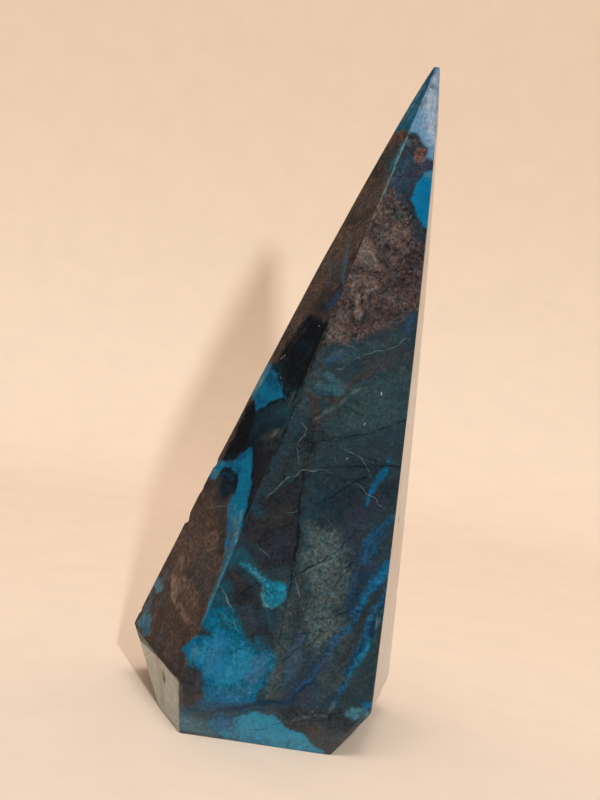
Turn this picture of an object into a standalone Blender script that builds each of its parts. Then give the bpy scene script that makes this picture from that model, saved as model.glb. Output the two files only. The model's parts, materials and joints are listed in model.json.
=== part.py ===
"""Turquoise point: a cut and polished stone tower, six tall facets leaning to one side.

The stone is one solid. Its section is a six-sided outline that shrinks towards the tip, where
the ridges swell out a little, as hand-ground facets do. Four cuts slant in under the bottom
edge, the tip is ground blunt, and a small pit is left in the cut on the front left.
Units are metres, +Z is up, the wide front facet faces -Y, and the origin is at the middle of
the bottom of the stone's box.
"""

import math

import bmesh
import bpy
from mathutils import Matrix, Vector

MM = 0.001

HEIGHT = 115.0 * MM           # from the flat base to the blunt tip
SHARP_HEIGHT = 116.27 * MM    # where the ridges would meet if the tip weren't ground off
TIP_LEAN = 16.0 * MM          # how far right of the outline's origin the tip stands

# Going round from the left ridge by way of the front: where each ridge's corner lies in the
# base plane, and its sideways swell as a share of the swell in depth.
RIDGES = (
    ("left", -27.4 * MM, 11.1 * MM, 0.97),
    ("front_left", -14.5 * MM, -20.0 * MM, 0.19),
    ("front_right", 19.8 * MM, -20.0 * MM, 0.79),
    ("right", 23.9 * MM, 13.0 * MM, 0.77),
    ("back_right", 9.5 * MM, 23.0 * MM, 0.90),
    ("back_left", -14.5 * MM, 24.0 * MM, 0.90),
)
SWELL_POWER = 0.85            # below 1, a ridge bows outwards; at 1 it would be straight
RINGS = 30                    # outlines up the stone, closer together near the tip
RING_CROWDING = 1.3
EASED_EDGE = 0.3 * MM         # the ridges are polished over, not knife-sharp
EASED_SHARE = 0.12            # near the tip, the most of a side that its eased corner takes

# The cuts that slant in under the bottom edge: the way each one faces, in degrees from +X,
# how far it is undercut from upright, in degrees, and how far out it meets the base.
BASE_CUTS = (
    ("front_left_cut", 201.9, 5.9, 17.75 * MM),
    ("left_cut", 185.0, 34.4, 16.73 * MM),
    ("right_cut", -9.3, 35.6, 17.10 * MM),
    ("back_cut", 96.0, 32.0, 20.2 * MM),
)
CUT_MERGE = 0.001 * MM

# The pit in the front left cut: a shallow round bowl where a soft grain fell out.
PIT_ALONG_CUT = -4.1 * MM     # from the middle of the cut's base line towards the front
PIT_HEIGHT = 6.4 * MM
PIT_BALL = 1.3 * MM           # radius of the ball that hollows it
PIT_DEPTH = 0.4 * MM

STONE_COLOUR = (0.012, 0.075, 0.115, 1.0)
STONE_ROUGHNESS = 0.16


def clear_scene():
    for obj in list(bpy.data.objects):
        bpy.data.objects.remove(obj, do_unlink=True)


def ridge_point(ridge, height):
    """Where a ridge stands at this height, before its edge is eased."""
    _, x, y, sideways = ridge
    risen = height / SHARP_HEIGHT
    left = 1.0 - risen
    swell = left ** SWELL_POWER - left
    return Vector((TIP_LEAN * risen + x * (left + sideways * swell), y * (left + swell), height))


def outline_at(height):
    """The stone's outline at this height: two points at each ridge, so its edge is eased."""
    corners = [ridge_point(ridge, height) for ridge in RIDGES]
    points = []
    for place, corner in enumerate(corners):
        for neighbour in (corners[place - 1], corners[(place + 1) % len(corners)]):
            side = neighbour - corner
            eased = min(EASED_EDGE, EASED_SHARE * side.length)
            points.append(corner + side.normalized() * eased)
    return points


def ring_heights():
    for ring in range(1, RINGS + 1):
        yield HEIGHT * (1.0 - (1.0 - ring / RINGS) ** RING_CROWDING)


def raise_tower(bm):
    """Extrude the base outline ring by ring, up to the blunt tip."""
    place_of = bm.verts.layers.int.new("place")
    base = [bm.verts.new(point) for point in outline_at(0.0)]
    for place, vert in enumerate(base):
        vert[place_of] = place
    rim = list(bm.faces.new(base).edges)
    for height in ring_heights():
        outline = outline_at(height)
        raised = bmesh.ops.extrude_edge_only(bm, edges=rim)["geom"]
        for vert in raised:
            if isinstance(vert, bmesh.types.BMVert):
                vert.co = outline[vert[place_of]]
        rim = [edge for edge in raised if isinstance(edge, bmesh.types.BMEdge)]
    bmesh.ops.holes_fill(bm, edges=rim, sides=0)


def cut_plane(direction, undercut, reach):
    """The middle of the cut's line on the base, and the cut's outward normal."""
    heading = math.radians(direction)
    lean = math.radians(undercut)
    level = Vector((math.cos(heading), math.sin(heading), 0.0))
    return level * reach, level * math.cos(lean) - Vector((0.0, 0.0, math.sin(lean)))


def cut_base(bm):
    for _, direction, undercut, reach in BASE_CUTS:
        spot, normal = cut_plane(direction, undercut, reach)
        cut = bmesh.ops.bisect_plane(
            bm,
            geom=bm.verts[:] + bm.edges[:] + bm.faces[:],
            dist=CUT_MERGE,
            plane_co=spot,
            plane_no=normal,
            clear_outer=True,
        )
        rim = [edge for edge in cut["geom_cut"] if isinstance(edge, bmesh.types.BMEdge)]
        bmesh.ops.holes_fill(bm, edges=rim, sides=0)


def box_middle(bm):
    xs = [vert.co.x for vert in bm.verts]
    ys = [vert.co.y for vert in bm.verts]
    return Vector(((min(xs) + max(xs)) / 2.0, (min(ys) + max(ys)) / 2.0, 0.0))


def stone_material():
    material = bpy.data.materials.new("polished_turquoise")
    material.use_nodes = True
    shader = material.node_tree.nodes["Principled BSDF"]
    shader.inputs["Base Color"].default_value = STONE_COLOUR
    shader.inputs["Roughness"].default_value = STONE_ROUGHNESS
    shader.inputs["Metallic"].default_value = 0.0
    return material


def add_pit_cutter(collection, middle):
    """A ball whose cap, PIT_DEPTH thick, lies inside the front left cut."""
    _, direction, undercut, reach = BASE_CUTS[0]
    spot, normal = cut_plane(direction, undercut, reach)
    along = normal.cross(Vector((0.0, 0.0, 1.0))).normalized()
    up = along.cross(normal)
    surface = spot + along * PIT_ALONG_CUT + up * (PIT_HEIGHT / up.z)
    centre = surface + normal * (PIT_BALL - PIT_DEPTH) - middle
    bpy.ops.mesh.primitive_uv_sphere_add(segments=24, ring_count=16, radius=PIT_BALL, location=centre)
    cutter = bpy.context.active_object
    cutter.name = "pit_cutter"
    cutter.rotation_euler = normal.to_track_quat("Z", "Y").to_euler()
    cutter.hide_render = True
    cutter.display_type = "WIRE"
    for owner in list(cutter.users_collection):
        owner.objects.unlink(cutter)
    collection.objects.link(cutter)
    return cutter


def build_stone(collection, cutters):
    bm = bmesh.new()
    raise_tower(bm)
    cut_base(bm)
    middle = box_middle(bm)
    bmesh.ops.translate(bm, verts=bm.verts[:], vec=-middle)
    bmesh.ops.recalc_face_normals(bm, faces=bm.faces[:])
    mesh = bpy.data.meshes.new("turquoise_point")
    bm.to_mesh(mesh)
    bm.free()
    mesh.materials.append(stone_material())
    stone = bpy.data.objects.new("turquoise_point", mesh)
    collection.objects.link(stone)
    pit = stone.modifiers.new("pit", "BOOLEAN")
    pit.operation = "DIFFERENCE"
    pit.object = add_pit_cutter(cutters, middle)
    return stone


def main():
    clear_scene()
    collection = bpy.data.collections.new("Turquoise Point")
    cutters = bpy.data.collections.new("Cutters")
    bpy.context.scene.collection.children.link(collection)
    bpy.context.scene.collection.children.link(cutters)
    build_stone(collection, cutters)


main()
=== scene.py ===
"""Dresses the turquoise point: the polished, veined stone, and a pale stage to see it on."""

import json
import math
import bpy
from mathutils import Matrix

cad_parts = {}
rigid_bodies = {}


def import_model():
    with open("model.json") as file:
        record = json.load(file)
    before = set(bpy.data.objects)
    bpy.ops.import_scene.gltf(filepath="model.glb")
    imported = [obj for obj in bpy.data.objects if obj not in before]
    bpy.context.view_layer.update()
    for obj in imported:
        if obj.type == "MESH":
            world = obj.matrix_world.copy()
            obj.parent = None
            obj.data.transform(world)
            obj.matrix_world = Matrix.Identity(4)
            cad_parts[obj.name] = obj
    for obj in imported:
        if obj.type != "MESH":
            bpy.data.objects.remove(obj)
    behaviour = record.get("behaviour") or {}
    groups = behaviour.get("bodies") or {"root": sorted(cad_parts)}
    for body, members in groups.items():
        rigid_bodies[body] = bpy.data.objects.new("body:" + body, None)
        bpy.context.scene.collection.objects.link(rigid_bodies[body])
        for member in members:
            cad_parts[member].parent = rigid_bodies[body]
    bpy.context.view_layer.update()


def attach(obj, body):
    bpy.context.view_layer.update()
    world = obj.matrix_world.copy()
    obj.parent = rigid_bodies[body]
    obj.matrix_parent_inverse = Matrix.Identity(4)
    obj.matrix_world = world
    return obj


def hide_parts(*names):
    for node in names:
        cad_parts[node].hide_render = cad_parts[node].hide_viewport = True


bl_info = {
    "name": "Turquoise point",
    "version": (1, 0, 0),
    "blender": (4, 5, 0),
    "location": "View3D > Sidebar > Stone",
    "description": "Makes a polished turquoise point and a pale stage for it",
    "category": "Object",
}

import bmesh
import bpy
import numpy as np
from bpy.props import FloatProperty, FloatVectorProperty, PointerProperty
from bpy.types import Operator, Panel, PropertyGroup
from mathutils import Matrix, Vector
from mathutils.geometry import delaunay_2d_cdt

for leftover in list(bpy.data.objects):
    bpy.data.objects.remove(leftover, do_unlink=True)
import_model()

STONE_NODE = "turquoise_point"
MM = 0.001

# ------------------------------------------------------------------ the shape of the stone
# Down to the stage, lengths are millimetres from the outline's own origin. The finished
# mesh is moved so that the middle of its box stands on the frame's origin.

STONE_MIDDLE = (-0.265, 1.446, 0.0)
HEIGHT = 115.0
SHARP_HEIGHT = 116.27         # where the ridges would meet if the tip weren't ground off
TIP_LEAN = 16.0
SWELL_POWER = 0.85

# name, corner in the base plane, sideways swell; going round by way of the front
RIDGES = (
    ("left", -27.4, 11.1, 0.97),
    ("front_left", -14.5, -20.0, 0.19),
    ("front_right", 19.8, -20.0, 0.79),
    ("right", 23.9, 13.0, 0.77),
    ("back_right", 9.5, 23.0, 0.90),
    ("back_left", -14.5, 24.0, 0.90),
)

# each facet runs from the ridge in the same place to the next one; name, mesh column width
FACETS = (
    ("left_facet", 0.36),
    ("front_facet", 0.25),
    ("right_facet", 0.8),
    ("back_right_facet", 0.7),
    ("back_facet", 0.7),
    ("back_left_facet", 0.7),
)
ROW_HEIGHT = 0.25
RIM_STEPS = (0.22, 0.5)       # extra columns this far in from each ridge, which carry its rounding
RIM_FIT = 2.5                 # a facet narrower than this many such steps does without
RIM_KEY = 10 ** 5             # rims and ridges are told from columns by these
RIDGE_KEY = 10 ** 6
COLUMN_GAP = 0.35             # the least share of a column that is left beside a rim
SLOPE_STEP = 0.5              # a ridge's direction is taken over this height

# name, the way it faces in degrees from +X, undercut in degrees, reach, mesh cell width
BASE_CUTS = (
    ("front_left_cut", 201.9, 5.9, 17.75, 0.25),
    ("left_cut", 185.0, 34.4, 16.73, 1.0),
    ("right_cut", -9.3, 35.6, 17.10, 1.0),
    ("back_cut", 96.0, 32.0, 20.2, 1.0),
)
BASE_CELL = 2.5
GRID_GAP = 0.45               # the least share of a cell between a grid point and the outline
INSIDE_ONLY = 1               # the triangulation's mode that drops what is outside the outline
SAME_SPOT = 1e-6
CUT_BELOW = 14.0              # no cut reaches higher than this
CUT_MERGE = 0.001

EDGE_ROUND = 0.42
EDGE_VARIES = 0.35            # by this share, over this length
EDGE_WANDER = 9.0
TIP_ROUND = 0.16              # the rounding at the very tip, and how fast it grows below it
TIP_ROUND_GROWS = 0.025
WAVES = 9                     # each wobble is a sum of this many, of these paces
WAVE_PACES = (0.6, 1.5)
POLISH_WAVE = 0.018           # hand polishing leaves the flats this uneven, over this length
POLISH_WAVE_LENGTH = 13.0
RAGGED, RAGGED_LENGTH = 0.3, 1.4          # how ragged the chips' outlines are
BOWL_POWER = 1.5

# chips and pits: ridge or side, place across it, height, radius, depth
DENTS = (
    ("front_left_cut", 3.4, 6.5, 0.85, 0.40),
    ("front_left_cut", 4.1, 5.7, 0.80, 0.38),
    ("left", 0.0, 30.6, 1.25, 0.5),
    ("left", 0.0, 41.2, 0.9, 0.22),
    ("left", 0.0, 36.4, 0.7, 0.12),
    ("left", 0.0, 12.0, 0.8, 0.16),
    ("front_left", 0.0, 61.5, 0.7, 0.1),
    ("front_left", 0.0, 18.4, 0.6, 0.1),
    ("front_right", 0.0, 34.0, 0.6, 0.09),
    ("right", 0.0, 22.0, 1.1, 0.3),
    ("back_right", 0.0, 52.0, 1.3, 0.35),
    ("back_left", 0.0, 27.0, 1.0, 0.28),
    ("back_left", 0.0, 78.0, 0.8, 0.15),
    ("back_facet", 12.0, 21.0, 0.9, 0.22),
    ("right_facet", 14.0, 38.0, 0.8, 0.2),
)

SIDES = [name for name, _ in FACETS] + [cut[0] for cut in BASE_CUTS] + ["base", "tip"]


def ridge_line(ridge, heights):
    """A ridge's points at these heights, as rows of x, y, z."""
    _, x, y, sideways = ridge
    risen = heights / SHARP_HEIGHT
    left = 1.0 - risen
    swell = left ** SWELL_POWER - left
    return np.stack([TIP_LEAN * risen + x * (left + sideways * swell), y * (left + swell), heights], 1)


def facet_frame(place):
    """Where a facet's own crosswise measure starts in plan, and which way it runs."""
    start = np.array(RIDGES[place][1:3])
    end = np.array(RIDGES[(place + 1) % len(RIDGES)][1:3])
    return start, (end - start) / np.linalg.norm(end - start)


def cut_frame(cut):
    """A cut's middle point on the base, outward normal, and level direction along it."""
    _, direction, undercut, reach, _ = cut
    heading, lean = math.radians(direction), math.radians(undercut)
    level = np.array([math.cos(heading), math.sin(heading), 0.0])
    normal = level * math.cos(lean) - np.array([0.0, 0.0, math.sin(lean)])
    return level * reach, normal, np.array([-level[1], level[0], 0.0])


def across(side, points):
    """How far across a facet or a cut the points lie, from its start."""
    place = SIDES.index(side)
    if place < len(FACETS):
        start, heading = facet_frame(place)
        return (points[:, :2] - start) @ heading
    if side in ("base", "tip"):
        return points[:, 0]
    spot, _, along = cut_frame(BASE_CUTS[place - len(FACETS)])
    return (points - spot) @ along


def facet_rows(place, heights):
    """For each height, a facet's inner points: their crosswise keys and their places."""
    starts = ridge_line(RIDGES[place], heights)
    ends = ridge_line(RIDGES[(place + 1) % len(RIDGES)], heights)
    start, heading = facet_frame(place)
    column = FACETS[place][1]
    rows = []
    for a, b in zip(starts, ends):
        near, far = (a[:2] - start) @ heading, (b[:2] - start) @ heading
        rims = [step for step in RIM_STEPS if RIM_FIT * step < far - near]
        back = rims[::-1]
        margin = (rims or [0.0])[-1] + COLUMN_GAP * column
        first, last = math.ceil((near + margin) / column), math.floor((far - margin) / column)
        inner = np.arange(first, last + 1)
        keys = np.concatenate(
            [[step - RIM_KEY for step in rims], inner, [RIM_KEY - step for step in back]])
        spots = np.concatenate(
            [[near + step for step in rims], inner * column, [far - step for step in back]])
        share = (spots - near) / (far - near)
        rows.append((keys, a + (b - a) * share[:, None]))
    return rows


def stitch(low_keys, low_ids, high_keys, high_ids):
    """Faces between two rows of points: squares where columns meet, triangles elsewhere."""
    faces = []
    low = high = 0
    while low < len(low_ids) - 1 or high < len(high_ids) - 1:
        low_next = low_keys[low + 1] if low < len(low_ids) - 1 else math.inf
        high_next = high_keys[high + 1] if high < len(high_ids) - 1 else math.inf
        if low_next == high_next and low < len(low_ids) - 1:
            faces.append((low_ids[low], low_ids[low + 1], high_ids[high + 1], high_ids[high]))
            low, high = low + 1, high + 1
        elif low_next < high_next:
            faces.append((low_ids[low], low_ids[low + 1], high_ids[high]))
            low += 1
        else:
            faces.append((low_ids[low], high_ids[high + 1], high_ids[high]))
            high += 1
    return faces


def tower_mesh(bm):
    """The six facets as rows of small cells, with a floor and a tip, and each face's side."""
    heights = np.linspace(0.0, HEIGHT, round(HEIGHT / ROW_HEIGHT) + 1)
    ridges = [[bm.verts.new(point) for point in ridge_line(ridge, heights)] for ridge in RIDGES]
    side_of = bm.faces.layers.int.new("side")
    ring_low, ring_high = [], []
    for place in range(len(FACETS)):
        near, far = ridges[place], ridges[(place + 1) % len(RIDGES)]
        below = None
        for level, (keys, points) in enumerate(facet_rows(place, heights)):
            row = [near[level]] + [bm.verts.new(point) for point in points] + [far[level]]
            row_keys = [-math.inf, *keys.tolist(), RIDGE_KEY]
            if below:
                for face in stitch(*below, row_keys, row):
                    bm.faces.new(face)[side_of] = place
            if level == 0:
                ring_low += row[:-1]
            below = (row_keys, row)
        ring_high += row[:-1]
    bm.faces.new(ring_low[::-1])[side_of] = SIDES.index("base")
    bm.faces.new(ring_high)[side_of] = SIDES.index("tip")


def parts_of(faces):
    """These faces with their edges and corners, as a cut wants them, in the same order each run."""
    edges = dict.fromkeys(edge for face in faces for edge in face.edges)
    verts = dict.fromkeys(vert for face in faces for vert in face.verts)
    return [*verts, *edges, *faces]


def cut_base(bm):
    """Slices the cuts off the foot, and closes each of them with one flat face."""
    side_of = bm.faces.layers.int["side"]
    for cut in BASE_CUTS:
        spot, normal, _ = cut_frame(cut)
        low_faces = [face for face in bm.faces if min(vert.co.z for vert in face.verts) < CUT_BELOW]
        done = bmesh.ops.bisect_plane(
            bm, geom=parts_of(low_faces), dist=CUT_MERGE,
            plane_co=spot, plane_no=normal, clear_outer=True)
        rim = [edge for edge in done["geom_cut"] if isinstance(edge, bmesh.types.BMEdge)]
        for face in bmesh.ops.holes_fill(bm, edges=rim, sides=0)["faces"]:
            face[side_of] = SIDES.index(cut[0])


def fill_flat_side(bm, face, spot, axes, cell):
    """Swaps one flat many-cornered face for small triangles on a grid of inner points."""
    side_of = bm.faces.layers.int["side"]
    corners = list(face.verts)
    outline = np.array([[(vert.co - spot).dot(axis) for axis in axes] for vert in corners])
    low, high = np.floor(outline.min(0) / cell), np.ceil(outline.max(0) / cell)
    lines = [np.arange(a, b) for a, b in zip(low, high)]
    grid = np.stack(np.meshgrid(*lines), -1).reshape(-1, 2) * cell
    inner = grid[stroke_depth(grid, outline) > GRID_GAP * cell]
    flat = [Vector(place) for place in np.vstack([outline, inner])]
    edge = [list(range(len(corners)))]
    _, _, triangles, origins, _, _ = delaunay_2d_cdt(flat, [], edge, INSIDE_ONLY, SAME_SPOT)
    verts = corners + [bm.verts.new(spot + axes[0] * x + axes[1] * y) for x, y in inner]
    side = face[side_of]
    bm.faces.remove(face)
    for triangle in triangles:
        bm.faces.new([verts[origins[corner][0]] for corner in triangle])[side_of] = side


def fill_flat_sides(bm):
    """Gives the base and the cuts small triangles, fine enough to paint and to round."""
    side_of = bm.faces.layers.int["side"]
    plans = {"base": (Vector((0, 0, 0)), (Vector((1, 0, 0)), Vector((0, 1, 0))), BASE_CELL)}
    for cut in BASE_CUTS:
        spot, normal, along = (Vector(part) for part in cut_frame(cut))
        plans[cut[0]] = (spot, (along, normal.cross(along)), cut[4])
    for face in [face for face in bm.faces if SIDES[face[side_of]] in plans]:
        fill_flat_side(bm, face, *plans[SIDES[face[side_of]]])


def wander(points, size, seed):
    """A smooth wobble, about -1 to 1, of about this size: sine waves in scattered directions."""
    chance = np.random.default_rng(seed)
    total = np.zeros(len(points))
    for _ in range(WAVES):
        heading = chance.normal(size=points.shape[1])
        pace = 2.0 * math.pi * chance.uniform(*WAVE_PACES) / size
        phase = chance.uniform(0.0, 2.0 * math.pi)
        total += np.sin(points @ (heading / np.linalg.norm(heading)) * pace + phase)
    return total / math.sqrt(WAVES)


def side_depths(points):
    """How far below each side's plane the points lie, and the sides' outward normals."""
    heights = points[:, 2]
    depths, normals = [], []
    for place in range(len(FACETS)):
        start = ridge_line(RIDGES[place], heights)
        end = ridge_line(RIDGES[(place + 1) % len(RIDGES)], heights)
        above = ridge_line(RIDGES[place], heights + SLOPE_STEP)
        run, rise = end - start, above - start
        normal = np.cross(run, rise)
        normal /= np.linalg.norm(normal, axis=1)[:, None]
        normals.append(normal)
        depths.append(((start - points) * normal).sum(1))
    for cut in BASE_CUTS:
        spot, normal, _ = cut_frame(cut)
        normals.append(np.tile(normal, (len(points), 1)))
        depths.append((spot - points) @ normal)
    for level, up in ((0.0, -1.0), (HEIGHT, 1.0)):
        normals.append(np.tile((0.0, 0.0, up), (len(points), 1)))
        depths.append((level - heights) * up)
    return np.array(depths), np.array(normals)


def ease_edges(points):
    """Rounds every edge by sinking the surface where two or more sides are near."""
    depths, normals = side_depths(points)
    reach = EDGE_ROUND * (1.0 + EDGE_VARIES * wander(points, EDGE_WANDER, seed=3))
    reach = np.minimum(reach, TIP_ROUND + TIP_ROUND_GROWS * (HEIGHT - points[:, 2]))
    sunk = -depths[0]
    for depth in depths[1:]:
        near = np.clip(reach - np.abs(sunk + depth), 0.0, None)
        sunk = np.maximum(sunk, -depth) + near ** 2 / (4.0 * reach)
    weight = np.clip(reach - depths, 0.0, None) ** 2
    facing = (weight[:, :, None] * normals).sum(0)
    facing /= np.linalg.norm(facing, axis=1)[:, None]
    return points - facing * np.clip(sunk, 0.0, None)[:, None], facing


def spot_on(name, t, height):
    """The point of a ridge at a height, or of a side at a place across it and a height."""
    ridges = [ridge[0] for ridge in RIDGES]
    level = np.array([height])
    if name in ridges:
        return ridge_line(RIDGES[ridges.index(name)], level)[0]
    place = SIDES.index(name)
    if place < len(FACETS):
        a = ridge_line(RIDGES[place], level)[0]
        b = ridge_line(RIDGES[(place + 1) % len(RIDGES)], level)[0]
        start, heading = facet_frame(place)
        near, far = (a[:2] - start) @ heading, (b[:2] - start) @ heading
        return a + (b - a) * (t - near) / (far - near)
    spot, normal, along = cut_frame(BASE_CUTS[place - len(FACETS)])
    up = np.cross(normal, along)
    return spot + along * t + up * (height / up[2])


def dent(points, facing):
    """Sinks the chips and pits, each a shallow ragged bowl, and the unevenness of the polish."""
    sunk = POLISH_WAVE * np.clip(1.0 + wander(points, POLISH_WAVE_LENGTH, seed=5), 0.0, 2.0) / 2.0
    ragged = 1.0 + RAGGED * wander(points, RAGGED_LENGTH, seed=8)
    for name, t, height, radius, depth in DENTS:
        share = np.linalg.norm(points - spot_on(name, t, height), axis=1) * ragged / radius
        sunk += depth * np.clip(1.0 - share ** 2, 0.0, None) ** BOWL_POWER
    return points - facing * sunk[:, None]


def stone_mesh():
    """The stone's mesh, its points before easing, and the side that each face belongs to."""
    bm = bmesh.new()
    tower_mesh(bm)
    cut_base(bm)
    fill_flat_sides(bm)
    bmesh.ops.recalc_face_normals(bm, faces=bm.faces)
    mesh = bpy.data.meshes.new("stone_surface")
    bm.to_mesh(mesh)
    bm.free()
    flat = np.empty(len(mesh.vertices) * 3)
    mesh.vertices.foreach_get("co", flat)
    flat = flat.reshape(-1, 3)
    sides = np.empty(len(mesh.polygons), dtype=np.int32)
    mesh.attributes["side"].data.foreach_get("value", sides)
    mesh.attributes.remove(mesh.attributes["side"])
    eased, facing = ease_edges(flat)
    mesh.vertices.foreach_set("co", dent(eased, facing).ravel())
    mesh.shade_smooth()
    mesh.update()
    return mesh, flat, sides


# ------------------------------------------------------------------ the markings in the stone
# The ground is painted in strokes of named tones, later strokes over earlier ones. A stroke's
# points are places across its side and heights, each with the half-width there; points without
# a half-width go round the edge of a closed patch.

# Some strokes are painted light: a reflection on the front left cut, a sheen at the tip, and highlights
# along the front left ridge.
# colour, then how strongly the tone is grained, crackled and banded
TONES = {
    "slate": (0.019, 0.036, 0.046, 0.45, 0.12, 0.15),
    "coal": (0.005, 0.010, 0.013, 0.80, 0.20, 0.20),
    "navy": (0.004, 0.024, 0.056, 0.40, 0.10, 0.05),
    "night": (0.012, 0.022, 0.031, 0.45, 0.15, 0.30),
    "dim": (0.019, 0.026, 0.032, 0.60, 0.40, 0.20),
    "umber": (0.017, 0.018, 0.023, 0.50, 0.20, 0.05),
    "dusk": (0.036, 0.040, 0.046, 0.40, 0.40, 0.10),
    "soil": (0.038, 0.032, 0.029, 0.50, 0.25, 0.15),
    "ink": (0.024, 0.036, 0.062, 0.50, 0.15, 0.10),
    "sea": (0.027, 0.053, 0.062, 0.45, 0.10, 0.15),
    "fog": (0.055, 0.081, 0.084, 0.90, 0.10, 0.00),
    "moss": (0.038, 0.055, 0.058, 0.70, 0.15, 0.05),
    "mist": (0.034, 0.063, 0.098, 0.45, 0.30, 0.15),
    "haze": (0.075, 0.105, 0.112, 0.40, 0.10, 0.00),
    "plum": (0.030, 0.034, 0.058, 0.45, 0.10, 0.05),
    "steel": (0.010, 0.062, 0.128, 0.80, 0.15, 0.05),
    "azure": (0.002, 0.134, 0.286, 0.22, 0.05, 0.10),
    "sky": (0.014, 0.155, 0.276, 0.45, 0.04, 0.05),
    "violet": (0.030, 0.118, 0.215, 0.45, 0.08, 0.00),
    "lagoon": (0.003, 0.092, 0.165, 0.75, 0.15, 0.05),
    "teal": (0.010, 0.060, 0.085, 0.45, 0.30, 0.10),
    "aqua": (0.010, 0.122, 0.184, 0.90, 0.25, 0.00),
    "pool": (0.010, 0.168, 0.262, 0.30, 0.03, 0.10),
    "verdigris": (0.045, 0.120, 0.148, 0.80, 0.12, 0.00),
    "rime": (0.130, 0.290, 0.330, 0.50, 0.10, 0.00),
    "earth": (0.060, 0.045, 0.042, 1.20, 0.45, 0.05),
    "cocoa": (0.042, 0.031, 0.031, 1.00, 0.40, 0.05),
    "clay": (0.122, 0.094, 0.083, 0.95, 0.45, 0.05),
    "rust": (0.104, 0.050, 0.041, 1.20, 0.40, 0.00),
    "ice": (0.105, 0.235, 0.360, 0.25, 0.00, 0.00),
    "chalk": (0.290, 0.350, 0.440, 0.30, 0.00, 0.00),
    "ash": (0.120, 0.145, 0.160, 0.40, 0.00, 0.00),
    "bark": (0.081, 0.057, 0.044, 0.50, 0.15, 0.45),
    "roan": (0.118, 0.079, 0.064, 0.40, 0.20, 0.90),
    "fawn": (0.220, 0.160, 0.130, 0.50, 0.15, 0.80),
    "mauve": (0.078, 0.067, 0.066, 0.45, 0.25, 0.50),
    "pitch": (0.004, 0.004, 0.005, 1.30, 0.10, 0.00),
    "smoke": (0.006, 0.027, 0.042, 0.55, 0.15, 0.15),
    "flint": (0.036, 0.045, 0.046, 0.50, 0.25, 0.20),
    "cobalt": (0.001, 0.090, 0.200, 0.45, 0.10, 0.30),
    "cyan": (0.002, 0.160, 0.330, 0.45, 0.05, 0.25),
    "glass": (0.088, 0.205, 0.275, 0.55, 0.05, 0.15),
    # the front left cut's two pale tones: partly its own colour, partly a painted reflection of the pale
    # floor in its polish
    "bone": (0.170, 0.132, 0.090, 0.12, 0.00, 0.60),
    "celadon_and_reflection": (0.215, 0.250, 0.215, 0.12, 0.00, 0.50),
}

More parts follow.
